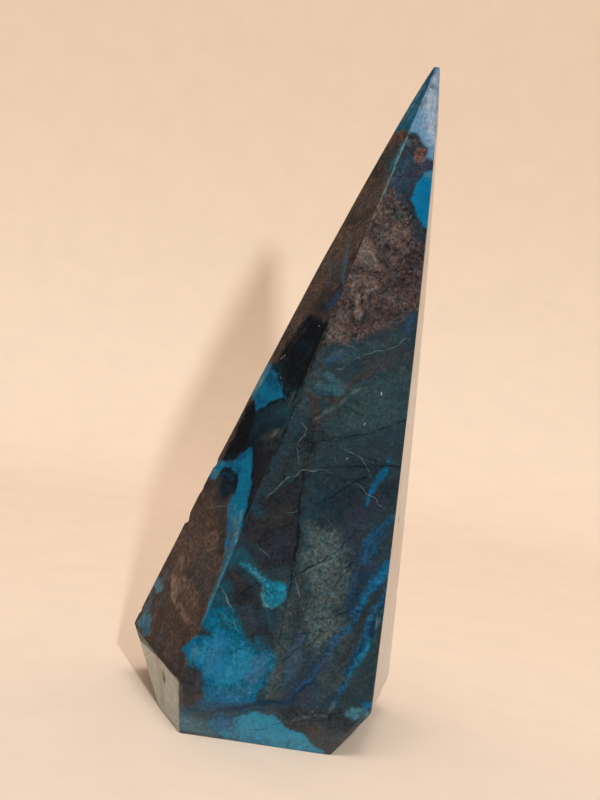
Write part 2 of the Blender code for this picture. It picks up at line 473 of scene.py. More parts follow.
# each stroke: tone, cover, softness in mm, points
FRONT_FACET_STROKES = (
    # the ground of the lower half, with its grey-green patch
    ("ink", 0.8, 2, (20, 9.5, 2), (23, 9, 2.5), (25.5, 13, 2.5)),
    ("moss", 0.8, 1.6, (27.5, 12, 2), (29.5, 16, 2), (28.5, 20, 1.5)),
    ("sea", 0.8, 0.9, (25.6, 9.2, 0.8), (26.4, 12.2, 0.9)),
    ("moss", 0.9, 1.2, (17.6, 7.5, 1), (17.6, 10.5, 1.4), (17.8, 14.5, 1), (17.8, 19, 1),
     (18.2, 22, 0.8)),
    ("fog", 0.5, 1, (17.4, 8.8, 0.9), (17.4, 12, 0.9)),
    ("mist", 1, 0.7, (19.2, 11.4, 0.6), (19.6, 13, 0.9), (20.3, 14.8, 1.2), (21, 17.5, 0.8)),
    ("fog", 0.95, 1.8, (20, 36.5, 1), (23, 33.5, 3.2), (23.5, 28.5, 3.6), (22.8, 24, 3.4),
     (24.5, 20, 2.4), (23.6, 17, 1)),
    ("moss", 0.7, 1, (25, 29.3, 0.8), (26.8, 27, 1.4), (27.3, 24, 0.9)),
    ("dim", 0.8, 1.2, (20, 27, 0.8), (20.2, 24, 1), (19.8, 21, 0.8)),
    ("ink", 0.7, 0.8, (28.3, 30.5, 0.6), (28.3, 27.5, 0.5), (28, 24, 0.4)),
    ("umber", 0.9, 0.9, (8.6, 26, 1), (10.5, 24, 1.8), (12, 21, 1.6), (13.6, 18.6, 1.2),
     (15.6, 18.5, 0.8)),
    ("soil", 0.6, 0.8, (8.6, 26.6, 0.6), (10.2, 25.4, 0.7)),
    ("mist", 0.4, 0.8, (11.8, 21, 1), (13, 19.2, 1)),
    ("teal", 0.9, 0.9, (7, 25, 0.6), (7, 22, 1.3), (8.2, 20.6, 1)),
    # the big blue patch near the foot
    ("lagoon", 0.95, 0.35, (6.3, 21), (8.3, 21.6), (10, 20), (11, 18.7), (12, 17), (13, 16), (14, 15.3),
     (16.5, 14.5), (17.4, 12.5), (16.5, 11), (15.5, 9), (15, 6.5), (7, 5.4), (6, 7.5), (6.3, 8.5),
     (6.5, 10.2), (5, 10.7), (3, 11), (2, 13), (3, 15.4), (5.6, 16.6), (4, 18), (4.6, 20.6)),
    ("lagoon", 0.8, 0.8, (14.5, 16, 0.4), (16.4, 14.8, 0.5), (17, 12.5, 0.3), (15.9, 9.4, 0.4)),
    ("moss", 0.7, 0.6, (17.5, 7.6, 0.5), (17.8, 10.6, 0.6), (18.3, 13.4, 0.3)),
    ("sky", 0.9, 1, (4.3, 12.7, 1), (7, 12.8, 2.2), (8.2, 15.2, 1.8)),
    ("sky", 1, 0.8, (9, 10.5, 1.8), (11.5, 12, 2.4), (12.2, 13.8, 1.4)),
    ("azure", 0.7, 0.8, (6.6, 9.5, 0.8), (8, 13.2, 1.5), (8.2, 16, 1)),
    ("violet", 0.9, 0.8, (13.8, 9.6, 1), (14.8, 12.2, 1.7), (15.6, 13.6, 0.9)),
    ("violet", 0.5, 0.6, (8, 7, 1), (11, 7.6, 1.2), (13.5, 8.2, 1)),
    ("teal", 0.75, 0.4, (9.4, 20.6, 0.4), (10.8, 18.4, 0.35), (12.2, 16.6, 0.3), (13.8, 15.6, 0.2)),
    ("teal", 0.7, 0.35, (6.4, 20.4, 0.3), (7.8, 18.8, 0.35), (9.4, 17.8, 0.3)),
    ("teal", 0.6, 0.35, (7.6, 21.6, 0.35), (8.6, 20, 0.3), (8.2, 17.6, 0.25)),
    ("aqua", 0.8, 0.35, (7, 19.9, 0.35), (8.8, 19, 0.4), (10, 19, 0.25)),
    ("umber", 0.75, 0.5, (3.9, 16.4, 0.5), (5.3, 16.7, 0.45), (6.4, 16.4, 0.2)),
    ("violet", 0.55, 0.9, (6.6, 10.6, 1), (7.2, 13.2, 1.4), (8, 15.4, 0.9)),
    ("verdigris", 0.6, 0.5, (4, 13.6, 0.6), (4.2, 12.2, 0.5)),
    # the brown corner and what lies beside it
    ("soil", 1, 0.4, (0.5, 10), (3, 10.3), (5.2, 10), (5.9, 8.6), (5.5, 7.2), (6.4, 6), (5, 4.4), (2, 4),
     (0.5, 4.5)),
    ("umber", 0.5, 0.8, (2.4, 8.2, 1.4), (3.4, 5.8, 1.2)),
    ("plum", 0.9, 0.5, (5, 9.2, 0.7), (5, 7.8, 0.5)),
    ("verdigris", 0.6, 0.5, (2, 0.6, 1), (3.6, 1.6, 1.6), (6.4, 1.8, 1.2), (8.6, 0.8, 0.8)),
    ("teal", 0.8, 0.6, (3, 3.8, 0.5), (6, 3.9, 0.5), (8, 4.6, 0.5)),
    ("steel", 0.7, 0.6, (6.6, 5.2, 0.7), (10, 5.6, 0.8), (13.5, 6.4, 0.7)),
    ("lagoon", 0.95, 0.6, (8.6, 2.4, 0.8), (10.2, 2.2, 1.7), (12.4, 2, 1.9)),
    ("steel", 0.5, 0.6, (9.4, 2.6, 0.8), (11.8, 2.6, 0.9)),
    # the brown patch and the blue one on the bottom edge
    ("dim", 1, 0.35, (18.6, 6.4), (21.4, 6.6), (26, 7), (29.5, 7.6), (31.6, 5.4), (31.5, 3), (28.6, -0.8),
     (25, 1), (21.6, 2.8), (19.4, 4.2)),
    ("soil", 0.6, 0.5, (21.6, 4.4, 0.4), (24.2, 4, 0.6), (26.6, 3.8, 0.5)),
    ("pool", 0.6, 1.6, (12.2, 3.6), (14.6, 4.6), (14.6, -1), (11.6, -1)),
    ("pool", 1, 0.14, (13, 4.6), (15.2, 5.2), (18.3, 5), (19.8, 4.2), (22.4, 3), (25, 1.6), (27.4, 0.2),
     (28.4, -1), (14.4, -1), (13.2, 1.6)),
    ("aqua", 0.85, 0.8, (21, 0.8, 0.7), (23.6, 0.6, 0.7), (25.6, 0, 0.5)),
    ("lagoon", 0.5, 0.7, (14.8, 0.8, 1), (18, 0.2, 0.8)),
    ("verdigris", 1, 0.4, (30.4, 7, 0.7), (31.6, 7.2, 1), (32.9, 7.9, 0.9)),
    ("azure", 0.6, 0.4, (33.2, 8.8, 0.5), (34, 9, 0.5)),
    # the two blue veins at the lower right
    ("navy", 0.75, 0.9, (30.6, 33.6, 0.9), (29.4, 30, 0.9), (28.9, 26, 0.7), (28.4, 23, 0.5)),
    ("umber", 0.45, 0.8, (31.2, 25, 0.5), (30.4, 21, 0.7), (29.6, 18, 0.9), (28, 14.6, 0.9),
     (27, 11.6, 0.7)),
    ("steel", 0.95, 0.3, (33.8, 31, 1.5), (32, 29, 1), (31, 27.4, 0.75), (30.4, 25.6, 0.65),
     (29.8, 23.8, 0.65), (29.2, 22, 0.55), (28.6, 20.8, 0.5), (27.4, 19.2, 0.5), (26.5, 18, 0.4),
     (25.9, 16.4, 0.3), (25.2, 15, 0.25), (24.7, 13.8, 0.2), (24.2, 12.4, 0.15), (23.3, 11.2, 0.15)),
    ("mist", 0.6, 0.4, (28.2, 20.3, 0.3), (26.6, 18.2, 0.35), (25.8, 16.2, 0.25), (24.9, 14.2, 0.15)),
    ("azure", 0.45, 0.4, (34, 31.4, 1.1), (32.6, 29.8, 0.6), (31.4, 28.2, 0.35), (30.7, 26.4, 0.25),
     (29.9, 24, 0.2)),
    ("navy", 0.9, 0.3, (33.9, 26.6, 0.3), (33.2, 23.4, 0.4), (32.4, 21, 0.4), (31.9, 19.2, 0.3)),
    ("steel", 0.95, 0.3, (33.8, 28, 0.2), (33.2, 26.4, 0.4), (32.6, 24.4, 0.4), (32, 22.6, 0.35),
     (31.4, 20.6, 0.35), (31.4, 19, 0.7), (31.3, 17.4, 0.9), (30.9, 15.8, 0.85), (30.1, 14.6, 0.65),
     (29.4, 13, 0.5), (28.9, 11.6, 0.4), (28.5, 10, 0.3), (28.2, 8.4, 0.2)),
    ("sky", 0.4, 0.3, (32, 19.8, 0.3), (31.9, 17.8, 0.5), (31.3, 16, 0.4)),
    ("aqua", 0.75, 0.3, (32, 19, 0.3), (31.9, 17.4, 0.35), (31.3, 16, 0.35), (30.3, 14.2, 0.3),
     (29.6, 12.8, 0.15)),
    ("navy", 0.7, 0.3, (31.1, 19.2, 0.3), (30.9, 17.4, 0.25), (30.3, 15.8, 0.2), (29.3, 13.8, 0.15),
     (28.6, 11.8, 0.12)),
    ("verdigris", 0.55, 0.25, (33.5, 24.4, 0.12), (33.3, 22.6, 0.2), (33.1, 20.8, 0.15),
     (32.8, 19.6, 0.08)),
    ("mist", 0.8, 0.25, (30.3, 33.2, 0.15), (29.2, 31.6, 0.15), (29, 29.2, 0.12), (28.7, 27.4, 0.08)),
    # the round blue drop and its tail
    ("teal", 0.9, 0.5, (7.6, 28.6, 0.7), (9.6, 29.4, 1.1), (11.2, 28.6, 0.8)),
    ("aqua", 0.95, 0.3, (9.8, 28.4, 0.3), (11.6, 27.9, 0.55), (13, 27, 0.7), (14.2, 26.2, 0.8)),
    ("rime", 0.4, 0.2, (10.6, 28.3, 0.06), (11.8, 27.8, 0.16), (13, 27.1, 0.2), (13.9, 26.4, 0.12)),
    ("aqua", 1, 0.2, (13.6, 24.7), (14.1, 25.9), (15.3, 26.5), (16.5, 26.4), (17.4, 25.6), (17.7, 24.3),
     (17.1, 22.9), (15.9, 22.2), (14.6, 22.4), (13.7, 23.4)),
    ("pool", 0.45, 0.5, (16.2, 25.2, 0.9), (16.8, 23.8, 0.8)),
    ("rime", 0.55, 0.2, (13.6, 25.4, 0.12), (13.5, 24, 0.2), (14.2, 22.8, 0.12), (15.6, 22.2, 0.1)),
    ("teal", 0.5, 0.6, (14.6, 22.2, 0.4), (15.3, 20.8, 0.4), (15.7, 19.4, 0.4), (15.6, 18.2, 0.25)),
    # the dark ground above the drop
    ("umber", 0.95, 1, (9, 33), (13.5, 29), (18.2, 29.2), (18.6, 35), (18, 41.5), (15, 41), (12, 39.5),
     (9.5, 37)),
    ("soil", 0.4, 1, (10.5, 33.5, 1), (12.5, 36.5, 1.6), (15.5, 37.5, 1.4)),
    ("plum", 0.4, 1, (14, 31, 1.5), (16, 33.5, 1.5)),
    ("teal", 0.6, 0.5, (10.3, 38, 0.5), (11.6, 37.4, 0.8)),
    ("night", 0.95, 2, (21, 38.5, 2), (24, 41, 3.2), (28, 42, 3.4), (31.5, 43, 2)),
    ("night", 0.5, 1.2, (21.5, 38, 1), (24.5, 37.2, 1), (27.5, 35.8, 1.2)),
    ("night", 0.7, 1.5, (21, 44.5, 1.6), (26, 46.5, 2.4), (30.5, 47.5, 1.2)),
    ("teal", 0.15, 1.5, (20.2, 37.5, 1.2), (21.8, 41.5, 1.8)),
    ("plum", 0.5, 1.2, (26.5, 34.5, 1.6), (28, 37, 1.6), (27, 40, 1), (31, 41.5, 1)),
    ("dim", 0.8, 1.2, (13.2, 42.6, 1.4), (14.2, 46, 2), (15, 49.5, 1.8), (20.5, 51, 1)),
    ("plum", 0.15, 0.9, (12.4, 42, 0.8), (14, 46.5, 1), (13, 48.5, 0.6)),
    ("teal", 0.25, 0.5, (12.6, 44.6, 0.3), (14.4, 48.8, 0.5), (16, 53, 0.4)),
    ("slate", 0.8, 1.4, (21, 48, 1.6), (26, 50, 1.8), (31.5, 51.5, 1.6)),
    # the green-blue middle and the brown seams through it
    ("sea", 0.7, 1.2, (20.4, 53.4, 0.8), (22.4, 54.6, 1)),
    ("sea", 0.9, 1.8, (24, 55, 2.4), (28, 56.5, 3), (32.5, 57.5, 2.2)),
    ("sea", 0.9, 1.4, (24, 59.5, 1.8), (29, 60.5, 1.8), (33, 62.5, 1.6)),
    ("moss", 0.5, 0.8, (15.6, 55.5, 0.9), (16.2, 58, 1), (18.5, 61.5, 1)),
    ("soil", 1, 0.4, (16.9, 57.4, 0.7), (17.7, 56.2, 1.1), (18.2, 54.4, 0.9), (18, 52.6, 0.8)),
    ("dim", 0.9, 0.4, (17.9, 52.5, 0.9), (17.7, 50, 0.8), (18, 47.5, 0.75), (17.8, 45.6, 0.6)),
    ("umber", 0.85, 0.4, (17.8, 45, 0.6), (17, 43.4, 0.8), (15.6, 41.8, 0.8), (13.6, 40.2, 0.6),
     (11.4, 38.4, 0.4)),
    ("soil", 0.55, 0.4, (18.8, 53, 0.6), (20.2, 54, 0.6), (21.4, 54.9, 0.4), (22.2, 56.4, 0.3)),
    ("soil", 0.85, 0.35, (18.5, 57.2, 0.4), (20.6, 57, 0.4), (22.2, 57.8, 0.5), (22.8, 59.6, 0.55),
     (24.2, 61, 0.6), (26, 62.2, 0.45), (27.6, 63.6, 0.35), (29.2, 65.2, 0.2)),
    ("verdigris", 0.5, 0.5, (18, 59.2, 0.5), (19.8, 58.6, 0.6)),
    ("verdigris", 0.5, 0.45, (19.8, 60.9, 0.7), (20.8, 59.6, 1.2), (21.6, 58.8, 0.9)),
    ("haze", 0.75, 0.35, (18.4, 53.7, 0.15), (19.6, 54.8, 0.2), (20.6, 55.6, 0.28), (21.9, 56.6, 0.25),
     (22.6, 57.2, 0.15), (23.2, 58, 0.15), (24.6, 59, 0.2), (26.2, 60, 0.12)),
    ("dusk", 0.8, 1.3, (25.5, 63.8, 0.8), (28, 64.2, 1.6), (31, 66, 1.6)),
    ("sea", 0.8, 0.6, (22, 64.5, 0.6), (24.5, 66, 0.8), (27.5, 67.6, 0.7), (30.5, 69.2, 0.6)),
    ("plum", 0.5, 0.7, (25.8, 67.2, 0.5), (27.8, 68.2, 0.5)),
    ("mist", 0.6, 0.6, (18.7, 63.4, 0.6), (20.4, 64.2, 0.9), (22.4, 65.6, 0.5)),
    ("haze", 0.25, 0.5, (19, 63.8, 0.4), (20.6, 64.8, 0.5)),
    ("dusk", 0.8, 0.9, (16.4, 62, 0.8), (17.4, 64.5, 0.8)),
    # the mottled brown patch
    ("earth", 1, 0.55, (17, 65.5), (20.5, 66.3), (23.5, 67.2), (26.5, 69.2), (30, 71), (31.5, 73.5),
     (34.5, 74.5), (34.5, 85), (31, 85.6), (29.4, 88.4), (28.2, 92.4), (25.2, 94.2), (22, 92), (15, 68)),
    ("ink", 0.8, 0.6, (31, 70, 0.6), (31.6, 72.4, 0.6)),
    ("steel", 0.3, 0.4, (31.3, 70.4, 0.3), (31.9, 72.6, 0.3)),
    ("cocoa", 0.8, 1.4, (29.5, 76.5, 1.6), (31, 80.5, 1.6), (31.5, 84, 1.2)),
    ("cocoa", 0.7, 0.9, (21.5, 70.6, 1.2), (25, 71.8, 1.4), (28.5, 72.6, 1.4)),
    ("cocoa", 0.6, 0.8, (25, 78.6, 1), (26.8, 77, 1), (25.8, 82.6, 0.9)),
    ("clay", 0.7, 0.8, (18.2, 67.4, 0.8), (20, 68.2, 1), (20.4, 69.6, 0.6)),
    ("clay", 0.95, 0.35, (22, 84.6), (23.4, 84), (24.1, 82), (25.4, 80.6), (26, 79.8), (24.6, 79.4),
     (22.8, 79.6), (21.4, 80.4), (21, 82.2)),
    ("clay", 0.8, 0.4, (23.2, 77.6, 0.5), (24.8, 77, 0.9), (24, 75.6, 0.5)),
    ("clay", 1, 0.2, (22.4, 75, 0.35), (22.8, 73.2, 0.55), (22.8, 71, 0.25)),
    ("fawn", 0.6, 0.18, (22.5, 74.4, 0.15), (22.85, 72.8, 0.4), (22.9, 71.4, 0.2)),
    ("clay", 0.5, 0.4, (23.6, 74.6, 0.5), (24.4, 74, 0.3)),
    ("cocoa", 0.7, 0.8, (26.4, 74.4, 0.8), (28.4, 75.8, 1), (29, 78, 0.8)),
    ("clay", 0.5, 0.22, (26.6, 75.5, 0.2), (27.8, 75, 0.35), (28.5, 74, 0.2)),
    ("clay", 0.6, 0.5, (21, 77.6, 0.6), (21.8, 76.2, 0.5), (20.8, 74.6, 0.4)),
    ("clay", 0.6, 0.8, (25.8, 85.4, 0.8), (27.6, 86.4, 1), (28.8, 85.6, 0.6)),
    ("clay", 0.5, 0.7, (24, 88, 0.7), (24.3, 90, 0.4)),
    ("clay", 0.45, 0.8, (26.8, 82.8, 0.7), (28.4, 84, 0.8)),
    ("moss", 0.6, 0.4, (25.8, 88.4, 0.4), (27.4, 88.6, 0.5), (28.2, 87.4, 0.3)),
    # the ground above it, and the blue eye on the right ridge
    ("dim", 0.9, 0.6, (33, 86, 1), (31.2, 86.6, 0.9), (30.2, 88.2, 0.6), (29.2, 90.8, 0.8),
     (29, 93.4, 0.9)),
    ("ink", 0.85, 0.8, (27.2, 92, 0.8), (27.6, 94.6, 1.4), (28.6, 96.4, 0.8)),
    ("mist", 0.8, 0.7, (25.4, 95.2, 0.7), (26.6, 95, 0.9), (26.8, 97.6, 0.9), (27.6, 99, 0.5)),
    ("plum", 0.9, 0.4, (26.6, 95.6, 0.35), (28.4, 96.4, 0.5), (30, 97.5, 0.65), (31.2, 98.1, 0.65),
     (32.6, 98.6, 0.7)),
    ("azure", 1, 0.12, (29.3, 92.6), (28.95, 92), (29.3, 91.4), (29.7, 90.2), (30.3, 89.3), (31, 88.6),
     (31.6, 87.9), (33, 87.5), (33, 97.8), (31, 97.3), (30.1, 96.8), (29.7, 95.8), (29.4, 94.6),
     (29.1, 93.4)),
    ("glass", 0.55, 0.6, (30.6, 96.4, 0.5), (32, 96.8, 0.6)),
    # the pale ground tip, partly its own colour and partly a painted sheen, and the rust below it
    ("ice", 1, 0.35, (26.4, 103), (28.3, 103.1), (29.6, 101.8), (30.6, 101.3), (31, 99.6), (30.2, 98.9),
     (31.4, 99.2), (34, 99.4), (34, 117), (27, 117)),
    ("dusk", 1, 0.35, (27, 99.8, 0.5), (27.6, 101.4, 0.8), (28.4, 102.4, 0.5), (29.2, 101.7, 0.35)),
    ("cocoa", 0.5, 0.4, (27.4, 101.2, 0.6), (28.4, 102, 0.4)),
    ("haze", 0.7, 0.4, (26.8, 101, 0.4), (27.6, 101.6, 0.3)),
    ("clay", 0.5, 0.4, (28.4, 101.2, 0.3), (28.8, 101.8, 0.3)),
    ("teal", 0.7, 0.3, (26.3, 99.8, 0.4), (26.8, 100.4, 0.3)),
    ("rust", 1, 0.25, (28.4, 100.2), (28.4, 99.2), (28.9, 98.4), (29.8, 98), (30.1, 98.8), (30.5, 99.7),
     (30.8, 100.4), (30.6, 101.1), (30, 101), (29.4, 101), (28.7, 101)),
    # a painted sheen down the tip's right side by the ridge, over its pale scratched colour
    ("chalk", 0.9, 0.7, (31.2, 102, 0.5), (30.8, 104.5, 0.9), (30.5, 107.5, 1), (30.3, 110.5, 0.7),
     (30.4, 113.5, 0.5)),
    ("chalk", 0.6, 0.4, (29, 104.5, 0.15), (29.2, 107.5, 0.2), (29.3, 110.4, 0.3)),
    ("ash", 0.7, 0.25, (29.1, 110.6, 0.12), (29.15, 109, 0.15), (28.6, 108.2, 0.2)),
    ("ash", 0.9, 0.35, (29.5, 111.4, 0.3), (30.4, 111.6, 0.45)),
    ("ash", 0.7, 0.3, (30.3, 114.6, 0.4), (30.3, 113.6, 0.1)),
    # the short blue slit and the vein below it
    ("cobalt", 0.85, 0.25, (28.35, 40.8, 0.12), (28.9, 42.4, 0.35), (29.6, 44, 0.45), (30.2, 45.6, 0.6),
     (30.8, 46.9, 0.45), (31.2, 48.2, 0.2), (31.4, 49.4, 0.1)),
    ("ink", 0.9, 0.9, (29.2, 30.8, 0.9), (30.8, 31.8, 1)),
    ("steel", 0.8, 0.6, (29.8, 31.8, 0.4), (29.6, 33.4, 0.9), (30.2, 35.4, 1), (31.4, 36.8, 0.7),
     (32.8, 38.8, 0.6), (33.4, 40, 0.3)),
    # what follows the left ridge
    ("pitch", 0.7, 0.25, (15.5, 59, 0.3), (14.6, 55.8, 0.35), (13.4, 51, 0.4), (12.3, 47, 0.35),
     (11.3, 43.2, 0.35)),
    ("teal", 0.7, 0.25, (15.2, 58.2, 0.1), (14.5, 55.6, 0.12)),
    ("teal", 0.8, 0.3, (10, 40.2, 0.3), (9.2, 37.2, 0.35), (8.6, 34.8, 0.3)),
    ("pitch", 0.7, 0.3, (16.2, 61.6, 0.3), (17.6, 67, 0.35), (18.4, 70.2, 0.25)),
    ("navy", 0.6, 0.2, (18.7, 71.6, 0.15), (20.1, 77.4, 0.15)),
    ("clay", 0.5, 0.3, (21.6, 82.4, 0.3), (23, 88.2, 0.35), (23.6, 90.6, 0.2)),
    # a painted highlight along the ridge below the tip, in the haze tone
    ("haze", 0.8, 0.25, (24.2, 92.6, 0.25), (25.3, 96.4, 0.25), (26.3, 100.2, 0.2)),
    # the dark seams above the bottom edge
    ("navy", 0.95, 0.22, (4.4, 3.9, 0.1), (7, 4.1, 0.2), (9.4, 4.5, 0.28), (12, 5.2, 0.3),
     (14, 5.9, 0.28), (16.5, 6.7, 0.25), (19, 7.2, 0.2), (21, 7.7, 0.28), (21.5, 8.7, 0.32),
     (22.3, 9.7, 0.35), (23.6, 10.7, 0.25), (24.6, 12, 0.12)),
    ("navy", 0.8, 0.2, (7.4, 2.9, 0.1), (9.4, 3.4, 0.16), (11.4, 3.9, 0.2), (13.2, 4.7, 0.22),
     (15, 5.3, 0.2), (17, 5.7, 0.1)),
    ("navy", 0.5, 0.3, (20.4, 9, 0.12), (22, 11, 0.2), (23.4, 13.4, 0.15), (24.4, 16, 0.1)),
    ("haze", 0.6, 0.2, (28.2, 8.6, 0.15), (27.6, 7.2, 0.12), (26.2, 6.3, 0.1), (24, 5.6, 0.1),
     (21.6, 4.9, 0.12), (19.6, 4.4, 0.08)),
    ("plum", 0.95, 0.3, (27.6, 95, 0.35), (28.6, 95.9, 0.45), (29.6, 97, 0.55), (30.6, 97.7, 0.55),
     (31.4, 98.1, 0.55), (32.4, 98.4, 0.55)),
)
